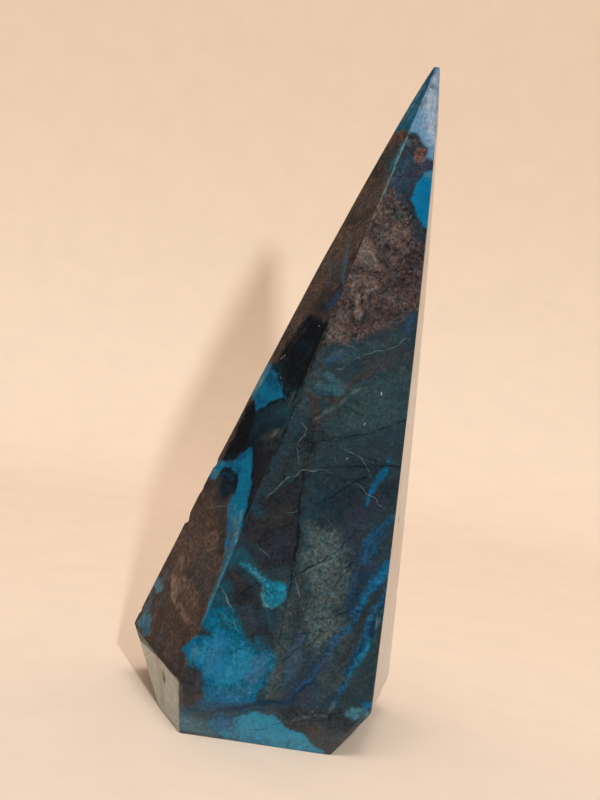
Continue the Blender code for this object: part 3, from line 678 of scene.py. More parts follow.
LEFT_FACET_STROKES = (
    # the dark middle, and the greys in the brown above it
    ("coal", 1, 0.8, (11.2, 42.2), (18, 42.8), (28, 39), (32, 33), (34, 48), (33, 69.6), (26, 70.6),
     (21.6, 70.4), (19.8, 67.4), (18, 64.6), (16.4, 61.4), (13, 56), (13.4, 52)),
    ("soil", 0.95, 1.3, (23, 72.6, 1), (25, 76, 1.8), (24.4, 79.2, 0.8)),
    ("umber", 0.95, 1, (23.6, 71, 0.6), (26, 72, 1.4), (28.8, 73.4, 1.4), (29, 76.6, 1)),
    ("ink", 0.85, 0.8, (27.6, 72.6, 0.9), (29.2, 74.4, 0.9)),
    ("flint", 0.8, 0.8, (26, 78, 0.9), (29, 78, 0.9)),
    ("soil", 0.9, 0.6, (28.4, 80.8, 0.7), (29.6, 82.4, 0.5)),
    ("soil", 0.6, 0.9, (21.6, 87.4, 0.8), (24.6, 87.2, 1), (28.6, 89.6, 0.7)),
    ("soil", 0.7, 0.7, (24.4, 93.6, 0.9), (26.8, 92.4, 0.7)),
    ("soil", 0.9, 0.7, (23, 96.2, 0.9), (25.6, 96.6, 0.9)),
    ("flint", 0.8, 0.5, (26.4, 95.8, 0.5), (28.2, 96.4, 0.6)),
    ("steel", 0.5, 0.5, (27.6, 95.4, 0.4), (28, 97.2, 0.5)),
    # the banded brown foot
    ("roan", 0.95, 1.8, (8, 26, 1.6), (11.5, 26.6, 2.2), (17.5, 26.2, 1.4)),
    ("roan", 0.9, 1.2, (10.5, 24, 1), (13.5, 23.4, 1.5), (15.5, 24.4, 0.9)),
    ("fawn", 0.55, 0.7, (11.4, 22.4, 0.5), (12.4, 23.8, 0.6), (14.2, 23.2, 0.8)),
    ("roan", 0.8, 0.6, (11, 21.2), (14, 21.6), (20, 21.8), (24.6, 21.3), (27.4, 19.6), (28.9, 17.8),
     (27, 16.5), (21, 16.5), (17, 17.1), (14, 18.4), (11.6, 19.4)),
    ("roan", 0.5, 1, (9, 30.6, 0.7), (13, 29, 0.9), (17, 29.3, 0.5)),
    ("mauve", 0.8, 1.8, (20.5, 26.5, 1.6), (24.5, 26.5, 1.8), (28.5, 26, 1.6)),
    ("mauve", 0.6, 1.2, (17.5, 23.6, 0.6), (21, 23.2, 1.2), (27, 23, 1.6), (30, 23, 1.2)),
    ("flint", 0.4, 1, (18, 22.9, 0.6), (28.5, 21.8, 1)),
    ("roan", 0.9, 0.8, (12, 21.2, 0.6), (16, 20.3, 1.3), (20.5, 20.4, 1.3), (24, 19.8, 1.5),
     (27.5, 18.4, 0.9)),
    ("bark", 0.6, 0.8, (21, 18.6, 0.5), (24, 18.4, 0.9), (27, 18.2, 0.5)),
    ("fawn", 1, 0.45, (11.2, 20.6, 0.6), (12.8, 20, 0.8), (15.4, 18.5, 0.9), (17.2, 17.8, 0.5)),
    ("fawn", 0.35, 0.7, (13.6, 20.6, 0.7), (15.8, 20, 0.7)),
    ("fawn", 0.6, 0.4, (16.8, 21.8, 0.4), (18.6, 20.9, 0.4), (20.4, 21.4, 0.3)),
    ("fawn", 0.6, 0.35, (19.2, 17.4, 0.4), (20.8, 17.2, 0.4), (24, 16.8, 0.35), (27.6, 16.9, 0.25),
     (29.4, 17.2, 0.15)),
    ("mauve", 0.9, 1.2, (7.5, 20.3, 1), (9.5, 17.6, 1.6), (12, 16.6, 1.2), (7.5, 14.8, 1)),
    ("glass", 0.4, 0.8, (4.4, 15.8, 0.7), (5.4, 13.6, 1.2)),
    ("roan", 0.4, 0.8, (9, 14.6, 1), (11.4, 13.6, 0.8)),
    ("fawn", 0.3, 0.8, (7.2, 20.6, 0.8), (8.4, 19.6, 0.6)),
    ("bark", 0.9, 1.2, (15, 14.6, 1.4), (15, 12, 2.4), (21, 13, 2.4), (28, 12, 1.8)),
    ("mauve", 0.5, 1.2, (15.5, 11.8, 1.2), (20.5, 11.2, 1.2), (30, 10, 1.2)),
    ("roan", 0.55, 0.8, (20.6, 12.4, 0.8), (22.6, 12, 0.8)),
    ("soil", 0.7, 0.8, (28, 14.8, 0.8), (30, 11.4, 1), (33.4, 8.8, 1.2), (34.6, 6.5, 1)),
    ("soil", 0.7, 0.5, (16, 9.2, 0.4), (25, 8.6, 0.5), (33, 8.4, 0.5)),
    ("glass", 1, 0.6, (4.4, 18, 1.2), (6.4, 17.9, 1.1), (8.2, 17.6, 0.6)),
    ("glass", 0.9, 0.8, (5.5, 11, 1.6), (8, 11.4, 1.9), (10.2, 10.6, 1.2)),
    ("cobalt", 0.4, 0.8, (8, 10.6, 1.2), (10.4, 10.4, 0.9)),
    ("roan", 0.95, 0.3, (18.6, 29.4, 0.35), (20.4, 31, 0.4), (22.5, 31.2, 0.5), (25, 30.2, 0.25),
     (24, 28.9, 0.3), (22.2, 28.3, 0.4), (20, 28.6, 0.3), (18.8, 29.4, 0.2)),
    ("roan", 0.6, 0.3, (21, 29.6, 0.4), (23.4, 29.8, 0.4)),
    # between the foot and the blue band
    ("soil", 0.8, 1.2, (8.5, 37.6, 1), (15, 38, 0.9), (22, 34, 1.4), (25.5, 32, 1.2), (28, 29, 0.9)),
    ("mauve", 0.6, 0.6, (13, 35, 0.4), (18, 35, 0.4), (21, 36, 0.4)),
    ("umber", 0.55, 0.7, (15, 36.4, 0.6), (18.4, 36.2, 0.7)),
    ("flint", 0.9, 0.9, (20.6, 38, 1.4), (17, 38, 1.6), (13.6, 38.6, 1)),
    ("plum", 0.7, 0.7, (17.5, 37.2, 0.6), (20.5, 36.8, 0.8)),
    # the dark hollow and the grey-green ground above the band
    ("pitch", 0.95, 0.8, (12, 44.6), (17.6, 44.6), (20, 47.4), (17.6, 49.4), (17.4, 52), (12.6, 53.6),
     (11.6, 50)),
    ("bark", 0.8, 0.6, (11.9, 52.6, 0.7), (11.5, 49.6, 0.9), (10.8, 46.4, 0.5), (10.3, 44.4, 0.4)),
    ("smoke", 0.95, 1.2, (19.4, 51, 0.8), (22, 52.4, 1.6), (26, 52.6, 2.2), (29.5, 54, 2.4),
     (31, 51, 1.2)),
    ("sea", 0.6, 1.4, (25.6, 53.6, 1.2), (29.4, 54.2, 1.6)),
    ("teal", 0.6, 1, (27.6, 54, 1), (30, 54.6, 1)),
    ("flint", 0.7, 0.8, (27.6, 48, 0.7), (30.2, 48, 0.8)),
    ("smoke", 0.6, 1.2, (19.4, 48.6, 0.8), (23, 49, 1.2), (27, 50, 1.4), (30.6, 52.4, 1.4)),
    ("flint", 0.9, 0.7, (24.5, 48.6, 0.5), (27.6, 49.4, 1), (30.2, 50, 0.9)),
    ("haze", 0.7, 0.5, (28.2, 49.8, 0.5), (29.5, 50.2, 0.6)),
    ("teal", 0.45, 0.8, (20.6, 50.4, 0.6), (21.6, 54, 0.7)),
    ("teal", 0.35, 1, (25, 54, 1.2), (29.4, 54.4, 1.2)),
    ("haze", 0.6, 0.5, (28.4, 57, 0.4), (29.4, 57.2, 0.5), (29.8, 55, 0.3)),
    ("teal", 0.6, 0.5, (31.3, 57.5, 0.5), (31.6, 53.5, 0.5)),
    ("umber", 0.7, 0.9, (24.6, 46.8), (26.4, 44.4), (28.8, 41.2), (30.8, 38.6), (33, 36.6), (33.2, 47.4),
     (28, 47.4)),
    ("smoke", 0.5, 0.8, (31.6, 40.4, 1), (32.2, 37.5, 0.7)),
    # the blue band that runs down to the ridge
    ("navy", 0.9, 0.4, (13.4, 40.4, 0.8), (16.5, 41, 0.9), (20.5, 40.8, 1), (22.4, 39.6, 0.9)),
    ("cyan", 1, 0.3, (7.6, 41.6), (11, 41.9), (14, 42.4), (16.4, 42.7), (17.8, 43.5), (19.2, 44.8),
     (20.4, 46.1), (22, 45.9), (24, 44.9), (25.6, 43.5), (27.2, 41.9), (28.8, 40.2), (30, 38.6),
     (30.8, 36.8), (31.4, 34.8), (32.2, 32.4), (32.9, 29.4), (33, 26), (33.6, 20), (32.4, 17), (31.9, 21),
     (31.3, 25), (30.2, 28.4), (27.9, 31.4), (25.4, 33.6), (23.3, 35.3), (22.4, 36.8), (22.4, 38),
     (22.7, 39.4), (22.2, 40.8), (20.4, 41.4), (16, 41.6), (13.4, 41.1), (12.5, 39.8), (11.4, 38.7),
     (9, 38.5)),
    ("cobalt", 0.95, 0.6, (18.4, 43.8, 0.6), (20, 44.6, 0.9), (21.4, 45.2, 0.6)),
    ("cobalt", 0.7, 0.5, (13.5, 41.9, 0.4), (16.8, 42.3, 0.5)),
    ("cobalt", 0.5, 0.5, (28.6, 40, 0.3), (30, 38, 0.4)),
    ("cobalt", 0.8, 0.4, (18.4, 42.2, 0.3), (21.2, 42, 0.5)),
    ("navy", 0.6, 0.4, (22.4, 40.2, 0.3), (22.9, 38.2, 0.35)),
    ("glass", 0.6, 0.7, (9.4, 39.6, 0.7), (11.6, 39.6, 0.8)),
    ("glass", 0.4, 0.4, (10.2, 41.8, 0.3), (12.2, 42, 0.3)),
    ("flint", 0.35, 0.7, (25.4, 34, 0.4), (27.6, 31.8, 0.5)),
    ("glass", 0.6, 0.9, (25.4, 35.8, 0.6), (27.6, 34.8, 1), (29.6, 33, 0.9), (30.6, 30, 0.8)),
    ("verdigris", 0.85, 0.5, (29.6, 34, 0.5), (30.6, 30, 0.7), (31.2, 26, 0.7), (32.2, 22.6, 0.5)),
    ("mauve", 0.7, 0.35, (29.4, 32.4, 0.3), (30.2, 29.4, 0.35), (30.8, 26.4, 0.3), (31.6, 23, 0.25)),
    # the rime lines where the band meets the front left ridge: partly its pale edge, partly a painted
    # highlight on the ridge
    ("rime", 0.6, 0.2, (31.9, 31, 0.12), (31.9, 28, 0.14), (32.4, 24.4, 0.1)),
    ("flint", 0.45, 0.5, (25, 34.2, 0.35), (27.6, 33.6, 0.4), (29.4, 31.6, 0.35)),
    ("rime", 0.8, 0.35, (29, 36, 0.2), (30.2, 34.4, 0.35), (31.2, 32.8, 0.4), (31.9, 31.6, 0.2)),
    ("glass", 0.4, 0.5, (31.4, 29.4, 0.6), (31.8, 26.4, 0.6), (32.6, 23.6, 0.5), (33, 19, 0.5)),
    ("verdigris", 0.75, 0.5, (31, 29.6, 0.8), (31.4, 26.8, 0.8), (32.4, 24, 0.6)),
    # the dark eye under the band
    ("smoke", 0.9, 0.8, (14, 39.8, 0.7), (16.4, 39, 1.4), (20, 38.8, 1.6), (22, 38.4, 0.9)),
    ("coal", 0.7, 0.8, (16, 38.6, 0.9), (19.6, 37.6, 1.2)),
    ("coal", 0.95, 0.3, (13.2, 40.5, 0.4), (15.6, 40.6, 0.9), (19, 40.3, 1), (21.6, 39.8, 0.8),
     (22.8, 39, 0.4)),
    ("cobalt", 0.55, 0.3, (14.6, 40.4, 0.2), (17.2, 40.4, 0.35), (20.2, 40.2, 0.3)),
    ("pitch", 0.8, 0.25, (13.8, 41.1, 0.15), (17, 41.6, 0.2), (20.6, 41.4, 0.15)),
    ("pitch", 0.6, 0.3, (16.2, 40.2, 0.2), (18.6, 40.4, 0.2)),
    # the upper blue patch
    ("cyan", 0.95, 0.25, (13, 61.4), (15, 61), (16.8, 59.9), (18.4, 59.5), (20.2, 58.8), (22, 58),
     (24, 57.1), (25.6, 56.4), (27, 56), (25.2, 55.6), (23.2, 55.1), (21.4, 54.6), (20, 53.6),
     (18.8, 52.6), (17.6, 52.4), (15.8, 53.1), (14, 53.8), (11.8, 54.2), (11, 57)),
    ("cobalt", 1, 0.6, (16.4, 58, 1.1), (19.4, 57.8, 0.9), (22, 56.9, 0.6)),
    ("navy", 0.4, 0.7, (16.6, 58.8, 0.4), (19.6, 58.4, 0.5)),
    ("cobalt", 0.9, 0.5, (14.6, 54.6, 0.6), (17, 54, 0.9), (19.4, 54.6, 0.6)),
    ("glass", 0.85, 0.6, (14.2, 60.6, 0.6), (13.6, 58, 1.2), (12.8, 55.4, 0.9)),
    ("rime", 0.4, 0.4, (14.2, 57.8, 0.4), (12.8, 55.6, 0.4)),
    ("verdigris", 0.6, 0.4, (13.4, 54.5, 0.5), (14.4, 55.4, 0.5)),
    ("flint", 0.35, 0.5, (14.4, 60.5, 0.5), (15.4, 59.8, 0.5)),
    ("smoke", 0.8, 0.5, (16, 60.6, 0.3), (19, 60.2, 0.6), (22, 59, 0.7), (26, 57.2, 0.5),
     (28.5, 58.6, 0.5)),
    # the black patch above it
    ("pitch", 0.8, 1, (17, 62.2), (20.6, 60.8), (24, 58.4), (32, 58.6), (31.6, 69.6), (26, 70),
     (21.4, 70), (19.4, 66.4)),
    ("smoke", 0.4, 0.8, (23, 65.2, 0.6), (28, 65, 0.8)),
    ("soil", 0.4, 0.7, (19.8, 64.4, 0.5), (20.8, 66.4, 0.6), (22.4, 68, 0.6)),
    ("soil", 0.5, 0.8, (15, 62.4, 0.7), (15.4, 65.4, 1.2), (17.4, 66.8, 0.9)),
    ("roan", 0.6, 0.5, (16, 69.6, 0.4), (18, 69.2, 0.5), (19.4, 68.4, 0.3)),
    ("fawn", 0.6, 0.3, (18.2, 62.2, 0.3), (19, 62.4, 0.2)),
    ("plum", 0.5, 0.4, (20, 62.2, 0.3), (21, 61.9, 0.3)),
    # the upper brown
    ("bark", 0.8, 1, (17, 73, 1.4), (20, 74.4, 1.6)),
    ("soil", 0.6, 0.8, (21, 71.2, 0.6), (26, 70.8, 0.6), (29.6, 71, 0.6)),
    ("mauve", 0.8, 1, (17.8, 77.6, 0.9), (19.4, 79.4, 1.3), (23, 79.6, 1.4), (24, 76.6, 1)),
    ("roan", 0.6, 0.8, (20, 82.2, 0.7), (23, 81.8, 0.7)),
    ("roan", 0.6, 0.9, (19.8, 84, 0.9), (22.6, 84.8, 0.9), (24, 84.4, 0.5)),
    ("roan", 0.5, 0.8, (19.4, 75.4, 0.7), (21.6, 74.4, 0.8)),
    ("roan", 0.8, 0.5, (28.4, 84.4, 0.6), (29, 83.4, 0.4)),
    ("haze", 0.25, 0.6, (24, 84.2, 0.8), (25, 82.6, 0.7)),
    ("mist", 0.8, 0.7, (25.4, 82.2, 0.3), (26.4, 80, 0.8), (28.2, 77.9, 0.6), (29.8, 76.6, 0.4)),
    ("glass", 0.3, 0.4, (25, 83, 0.2), (26, 81.2, 0.45), (26.9, 79.4, 0.4), (28.2, 77.8, 0.4),
     (29.8, 76.7, 0.3)),
    ("steel", 0.45, 0.8, (27.6, 72.8, 0.5), (29, 73.4, 0.8), (30, 74.8, 0.4)),
    ("mauve", 0.7, 1.2, (24.5, 91.6, 1.4), (27, 91, 1.4), (28.4, 94, 0.8)),
    ("roan", 0.6, 0.8, (21.4, 92.4, 0.9), (22.4, 95, 0.6)),
    ("soil", 0.7, 0.7, (22, 87.6, 0.8), (24, 87, 0.8)),
    ("pitch", 0.85, 0.2, (30.4, 71, 0.1), (30.1, 76.6, 0.15), (29.8, 82, 0.2), (29.5, 87, 0.1)),
    # the grey and the blue slit below the tip
    ("flint", 0.85, 0.8, (23.2, 98.6, 1.2), (26, 98.6, 1.6), (27, 100.4, 0.9)),
    ("steel", 0.4, 0.4, (24, 100.6, 0.4), (25.4, 100.4, 0.3)),
    ("aqua", 1, 0.35, (28.7, 101.2, 0.5), (28.4, 98.8, 0.7), (28.2, 96.6, 0.5)),
    ("glass", 0.4, 0.3, (28.7, 100.4, 0.2), (28.6, 97.4, 0.25)),
    ("rust", 0.7, 0.4, (22.5, 102.3, 0.5), (25, 102.4, 0.5), (28.6, 102.6, 0.6)),
    # the blue tip
    ("lagoon", 0.95, 0.4, (22, 103.6), (30, 103.4), (30, 117), (22, 117)),
    ("glass", 0.7, 0.35, (24.2, 104.6, 0.3), (25.3, 108, 0.35), (26.4, 111.6, 0.3)),
    ("smoke", 0.35, 0.7, (26.6, 110.6, 0.5), (27.2, 113.4, 0.5)),
    ("glass", 0.5, 0.5, (26.4, 105.8, 0.4), (27.2, 107.4, 0.5)),
    # the blue corner at the foot of the ridge
    ("glass", 0.4, 0.2, (34.2, 14.6, 0.2), (33.2, 19.8, 0.15)),
    ("cyan", 1, 0.35, (35.2, 10.8), (33.2, 11.6), (31.6, 12.2), (28.6, 12.4), (30.6, 13.6), (31.8, 15),
     (33.6, 15.6), (35.2, 15.2)),
    ("rime", 0.6, 0.35, (34, 12.6, 0.6), (34, 10.6, 0.3)),
)
# The front left cut is painted pale: partly its own colour, partly a painted reflection of the pale floor
# in its polish.
FRONT_LEFT_CUT_STROKES = (
    ("bone", 0.9, 0.9, (-4, 10.5, 1), (-1, 8, 1.4), (2, 5, 1.4), (4, 2.5, 0.9)),
    ("bone", 0.5, 0.8, (-12, 5, 0.8), (-9, 2.4, 0.9)),
)
RIGHT_FACET_STROKES = (
    ("fog", 0.9, 1.6, (4, 10, 3), (7, 17, 4), (8, 24, 3)),
    ("dusk", 0.8, 1.4, (3, 5, 2), (9, 5, 3)),
    ("night", 0.9, 2.2, (9, 42, 4), (15, 45, 4), (21, 42, 3)),
    ("umber", 0.8, 1.6, (22, 48, 3), (26, 40, 3)),
    ("sea", 0.9, 1.8, (10, 56, 3), (16, 60, 4), (24, 60, 3)),
    ("earth", 1, 0.6, (10, 73.5), (14, 71.5), (19, 68.5), (24, 70), (26, 74), (25, 84), (19, 88),
     (15.5, 86.4), (12, 86)),
    ("clay", 0.8, 0.6, (14.5, 76, 0.8), (17.5, 78.5, 1.2), (20, 76, 0.8)),
    ("clay", 0.7, 0.5, (20.5, 81, 0.7), (22.5, 79, 0.9)),
    ("earth", 0.95, 0.9, (15, 21), (19, 17.5), (26, 19), (31, 23), (31, 29), (24, 31), (18, 28)),
    ("cocoa", 0.8, 1.2, (19, 23, 1.4), (27, 27, 1.6)),
    ("clay", 0.7, 0.6, (20, 20.5, 0.8), (24, 22.5, 1), (28, 23.5, 0.7)),
    ("steel", 0.9, 0.5, (3, 27.5, 0.6), (6, 30.5, 1.2), (10, 33.6, 1.3), (14, 35.2, 0.8), (19, 35, 0.4)),
    ("azure", 0.8, 0.3, (4.4, 30, 0.7), (7, 32, 0.5), (10.6, 34.6, 0.4)),
    ("steel", 0.8, 0.4, (4, 26, 0.3), (9, 28.6, 0.5), (13, 32, 0.3)),
    ("lagoon", 1, 0.5, (17, 12.5), (20, 8), (26, 5.5), (32.5, 7), (32, 13), (27, 15.5), (21, 15.5)),
    ("sky", 0.9, 1, (22, 11.5, 1.8), (27, 11, 2.2)),
    ("pool", 0.7, 0.8, (24, 8.6, 1), (29, 9.5, 1.4)),
    ("rime", 0.4, 0.5, (22.5, 13, 0.4), (26, 13.6, 0.5)),
    ("lagoon", 0.9, 0.6, (25.5, 57, 1.4), (22.5, 54.5, 1.6), (20, 52, 0.8)),
    ("aqua", 0.6, 0.6, (24, 56, 0.8), (22, 53.6, 0.5)),
    ("ink", 0.8, 1, (12, 50.5, 1.2), (16, 52.5, 1.4)),
    ("steel", 0.8, 0.6, (10.6, 70.5, 0.8), (12, 72.4, 0.8)),
    ("plum", 0.7, 0.8, (15, 66.5, 0.8), (19, 65.5, 0.9)),
    ("dim", 0.9, 0.9, (14, 87.4, 1), (17, 89.4, 1.2), (18.5, 93, 1.2), (18.5, 97, 1)),
    ("azure", 1, 0.2, (13, 88), (14.6, 88.2), (16.4, 89.8), (17.4, 92.6), (17, 95.6), (16, 97.4),
     (14.5, 97.5)),
    ("plum", 0.9, 0.4, (15, 98.6, 0.6), (17, 98.4, 0.6), (19, 97.4, 0.5), (22, 97, 0.4)),
    # the pale tip as on the front: partly its own colour, partly a painted sheen
    ("ice", 1, 0.5, (14, 100), (17, 100.4), (19, 102.4), (23, 101.6), (23, 117), (14, 117)),
    ("chalk", 0.8, 0.6, (17.6, 104, 0.7), (18.2, 108, 0.8), (18.8, 112, 0.5)),
)
BACK_RIGHT_FACET_STROKES = (
    ("bark", 0.95, 0.9, (-1.5, 22), (4, 25), (13, 23), (14, 38), (8, 37), (3, 34), (-1.5, 31)),
    ("roan", 0.8, 0.9, (3, 28, 1), (7, 31, 1.4), (10.5, 33, 1)),
    ("flint", 0.8, 1.6, (3, 48, 2.4), (5.5, 55, 2.6)),
    ("sea", 0.8, 1.4, (0, 62, 1.8), (3.5, 64, 2)),
    ("bark", 0.95, 0.8, (-2, 72), (3, 69), (7.5, 70), (5.5, 86), (2, 92), (-2, 88)),
    ("clay", 0.6, 0.6, (0.5, 76, 0.6), (2.5, 80, 0.8), (2, 84, 0.5)),
    ("lagoon", 1, 0.5, (-1, 7.5), (4, 5.5), (9, 6.5), (12.5, 9), (10.5, 14.5), (5, 16), (1, 13.6),
     (-1, 14)),
    ("sky", 0.9, 0.8, (2, 10, 1.4), (6, 10.5, 2)),
    ("pool", 0.6, 0.6, (7, 12, 1), (9.5, 10, 0.8)),
    ("aqua", 0.8, 0.5, (-1.2, 57, 0.9), (1.6, 57.4, 0.7), (3.4, 59, 0.3)),
    ("ink", 0.8, 1, (9, 44, 1.4), (6.5, 40.5, 1.2)),
    ("umber", 0.8, 1.4, (11, 18.5, 1.8), (5, 19.5, 1.2)),
    ("plum", 0.8, 0.6, (-1.4, 96.6, 0.6), (1, 96, 0.6), (2.8, 95.6, 0.4)),
    ("cyan", 0.95, 0.8, (-2, 101.8), (3, 101), (3, 117), (-2, 117)),
    # a painted sheen on the tip
    ("chalk", 0.5, 0.5, (0, 106, 0.4), (-0.6, 111, 0.4)),
)
BACK_FACET_STROKES = (
    ("bark", 0.95, 1, (3, 8, 3), (10, 13, 4), (17, 16, 3.4)),
    ("roan", 0.8, 0.9, (5, 12, 1), (10, 14, 1.5), (15, 17, 1.2)),
    ("fog", 0.9, 1.5, (11, 31, 3), (5, 35, 2.6)),
    ("umber", 0.8, 1.2, (1, 27, 2), (4, 22, 1.8)),
    ("night", 0.9, 1.8, (0, 45, 2.6), (6, 49, 2.6), (10, 46, 2)),
    ("earth", 1, 0.7, (-5, 55), (1, 57.5), (6, 55.5), (10.5, 57), (6, 76), (1, 79), (-6, 75)),
    ("cocoa", 0.8, 1.2, (-2, 62, 1.6), (2.5, 70, 1.8)),
    ("clay", 0.8, 0.6, (3, 60, 0.9), (5.5, 64, 0.8), (3.8, 67.5, 0.6)),
    ("clay", 0.7, 0.5, (-2.5, 69, 0.7), (-1, 73, 0.9)),
    ("sea", 0.8, 1.2, (-3, 81, 1.4), (0, 83, 1.4)),
    ("lagoon", 1, 0.4, (13.5, 43), (12.5, 40), (9, 39.4), (5, 41.6), (1, 45), (3, 47), (7, 43.6),
     (10.5, 43)),
    ("sky", 0.8, 0.5, (11.6, 41.4, 0.7), (7.6, 41.8, 0.6)),
    ("dim", 0.9, 0.9, (-5, 86, 1.2), (-2, 89, 1.4), (-4.5, 94, 1.2)),
    ("azure", 1, 0.2, (-4.6, 88), (-3.4, 87.2), (-2.4, 89.4), (-2.8, 92.4), (-4.2, 94), (-5, 91)),
    ("steel", 0.85, 0.5, (-1, 19, 0.5), (4, 23.5, 0.8), (9, 26.5, 0.5), (15, 30, 0.4)),
    ("rust", 0.7, 0.6, (16, 20, 0.7), (13, 14.5, 0.5)),
    ("glass", 0.7, 0.6, (18, 7.5, 1), (20.5, 9, 0.9)),
    ("plum", 0.8, 0.5, (-1, 95.4, 0.5), (-3, 96.6, 0.5), (-6.4, 97, 0.4)),
    ("ice", 0.95, 0.8, (-8, 102.6), (-2, 101.6), (-2, 117), (-8, 117)),
)
BACK_LEFT_FACET_STROKES = (
    ("mauve", 0.8, 1.6, (3, 10, 2.6), (8, 15, 3), (6, 21, 2.4)),
    ("roan", 0.8, 0.9, (3, 25, 1.4), (8, 27, 1.6)),
    ("pitch", 0.9, 1.2, (3, 33, 2.2), (6, 45, 3), (3, 50, 2.6)),
    ("smoke", 0.8, 1.2, (0, 40, 2), (2, 56, 2.4)),
    ("cyan", 1, 0.3, (12, 42), (9.5, 42.4), (6.5, 40), (4, 37.6), (2.4, 37), (4.4, 36), (8, 36.6),
     (12, 38.4)),
    ("cobalt", 0.6, 0.5, (9.5, 39.8, 0.8), (6.5, 38, 0.6)),
    ("cyan", 1, 0.3, (8.5, 60.6), (6, 61.4), (4, 64), (2.6, 64.6), (3, 60), (5, 56), (9, 53.8)),
    ("glass", 0.7, 0.5, (6, 58.4, 0.8), (4, 62, 0.5)),
    ("glass", 0.9, 0.7, (15.4, 18, 0.8), (13.5, 17.4, 0.9), (12, 18.2, 0.4)),
    ("glass", 0.9, 0.8, (16.2, 11.2, 1.6), (13.5, 10.8, 1.6), (11, 12, 0.8)),
    ("pitch", 0.8, 1, (3, 66.5, 1.4), (1, 69, 1.8)),
    ("roan", 0.7, 0.8, (0, 78, 1), (1.5, 84, 1)),
    ("mauve", 0.7, 1, (-2, 88, 1.2), (-1, 94, 1.2)),
    ("flint", 0.8, 0.7, (-3, 98.6, 0.8), (-1.4, 98.4, 0.8)),
    ("rust", 0.8, 0.4, (-4.4, 102.4, 0.5), (-1, 102.3, 0.5)),
    ("cyan", 0.85, 0.5, (-6, 103.8), (0, 103.8), (0, 117), (-6, 117)),
)
LEFT_CUT_STROKES = (
    ("glass", 0.9, 1, (4, 5, 2), (9, 8, 2)),
    ("mauve", 0.7, 1.4, (-6, 6, 2), (-1, 4, 2)),
)
RIGHT_CUT_STROKES = (
    ("cyan", 0.9, 0.8, (4, 6, 2), (9, 9, 2)),
    ("fog", 0.8, 1.4, (-9, 6, 2), (-4, 3, 2)),
)
BACK_CUT_STROKES = (
    ("bark", 0.9, 1.2, (-6, 6, 2.6), (1, 5, 2.6)),
    ("cyan", 0.9, 0.8, (8, 8, 1.6), (13, 10, 1.6)),
)
BASE_STROKES = (
    ("pool", 0.95, 0.8, (-12, -10, 5), (-2, -15, 5), (8, -17, 3)),
    ("bark", 0.95, 1.2, (8, 8, 8), (14, 0, 4)),
    ("fog", 0.8, 1.6, (-8, 8, 4), (0, 0, 4)),
)

# each side's first tone, which covers all of it, and then its strokes
PAINT = {
    "front_facet": ("slate", FRONT_FACET_STROKES),
    "left_facet": ("bark", LEFT_FACET_STROKES),
    # pale, partly a painted reflection of the floor
    "front_left_cut": ("celadon_and_reflection", FRONT_LEFT_CUT_STROKES),
    "right_facet": ("slate", RIGHT_FACET_STROKES),
    "back_right_facet": ("night", BACK_RIGHT_FACET_STROKES),
    "back_facet": ("slate", BACK_FACET_STROKES),
    "back_left_facet": ("bark", BACK_LEFT_FACET_STROKES),
    "left_cut": ("bark", LEFT_CUT_STROKES),
    "right_cut": ("night", RIGHT_CUT_STROKES),
    "back_cut": ("umber", BACK_CUT_STROKES),
    "base": ("night", BASE_STROKES),
    "tip": ("ice", ()),
}


def dots(length, *spots):
    """Specks, each as a level line of this length: where it starts, and its half-width."""
    return tuple(((x, z, half), (x + length, z, half)) for x, z, half in spots)


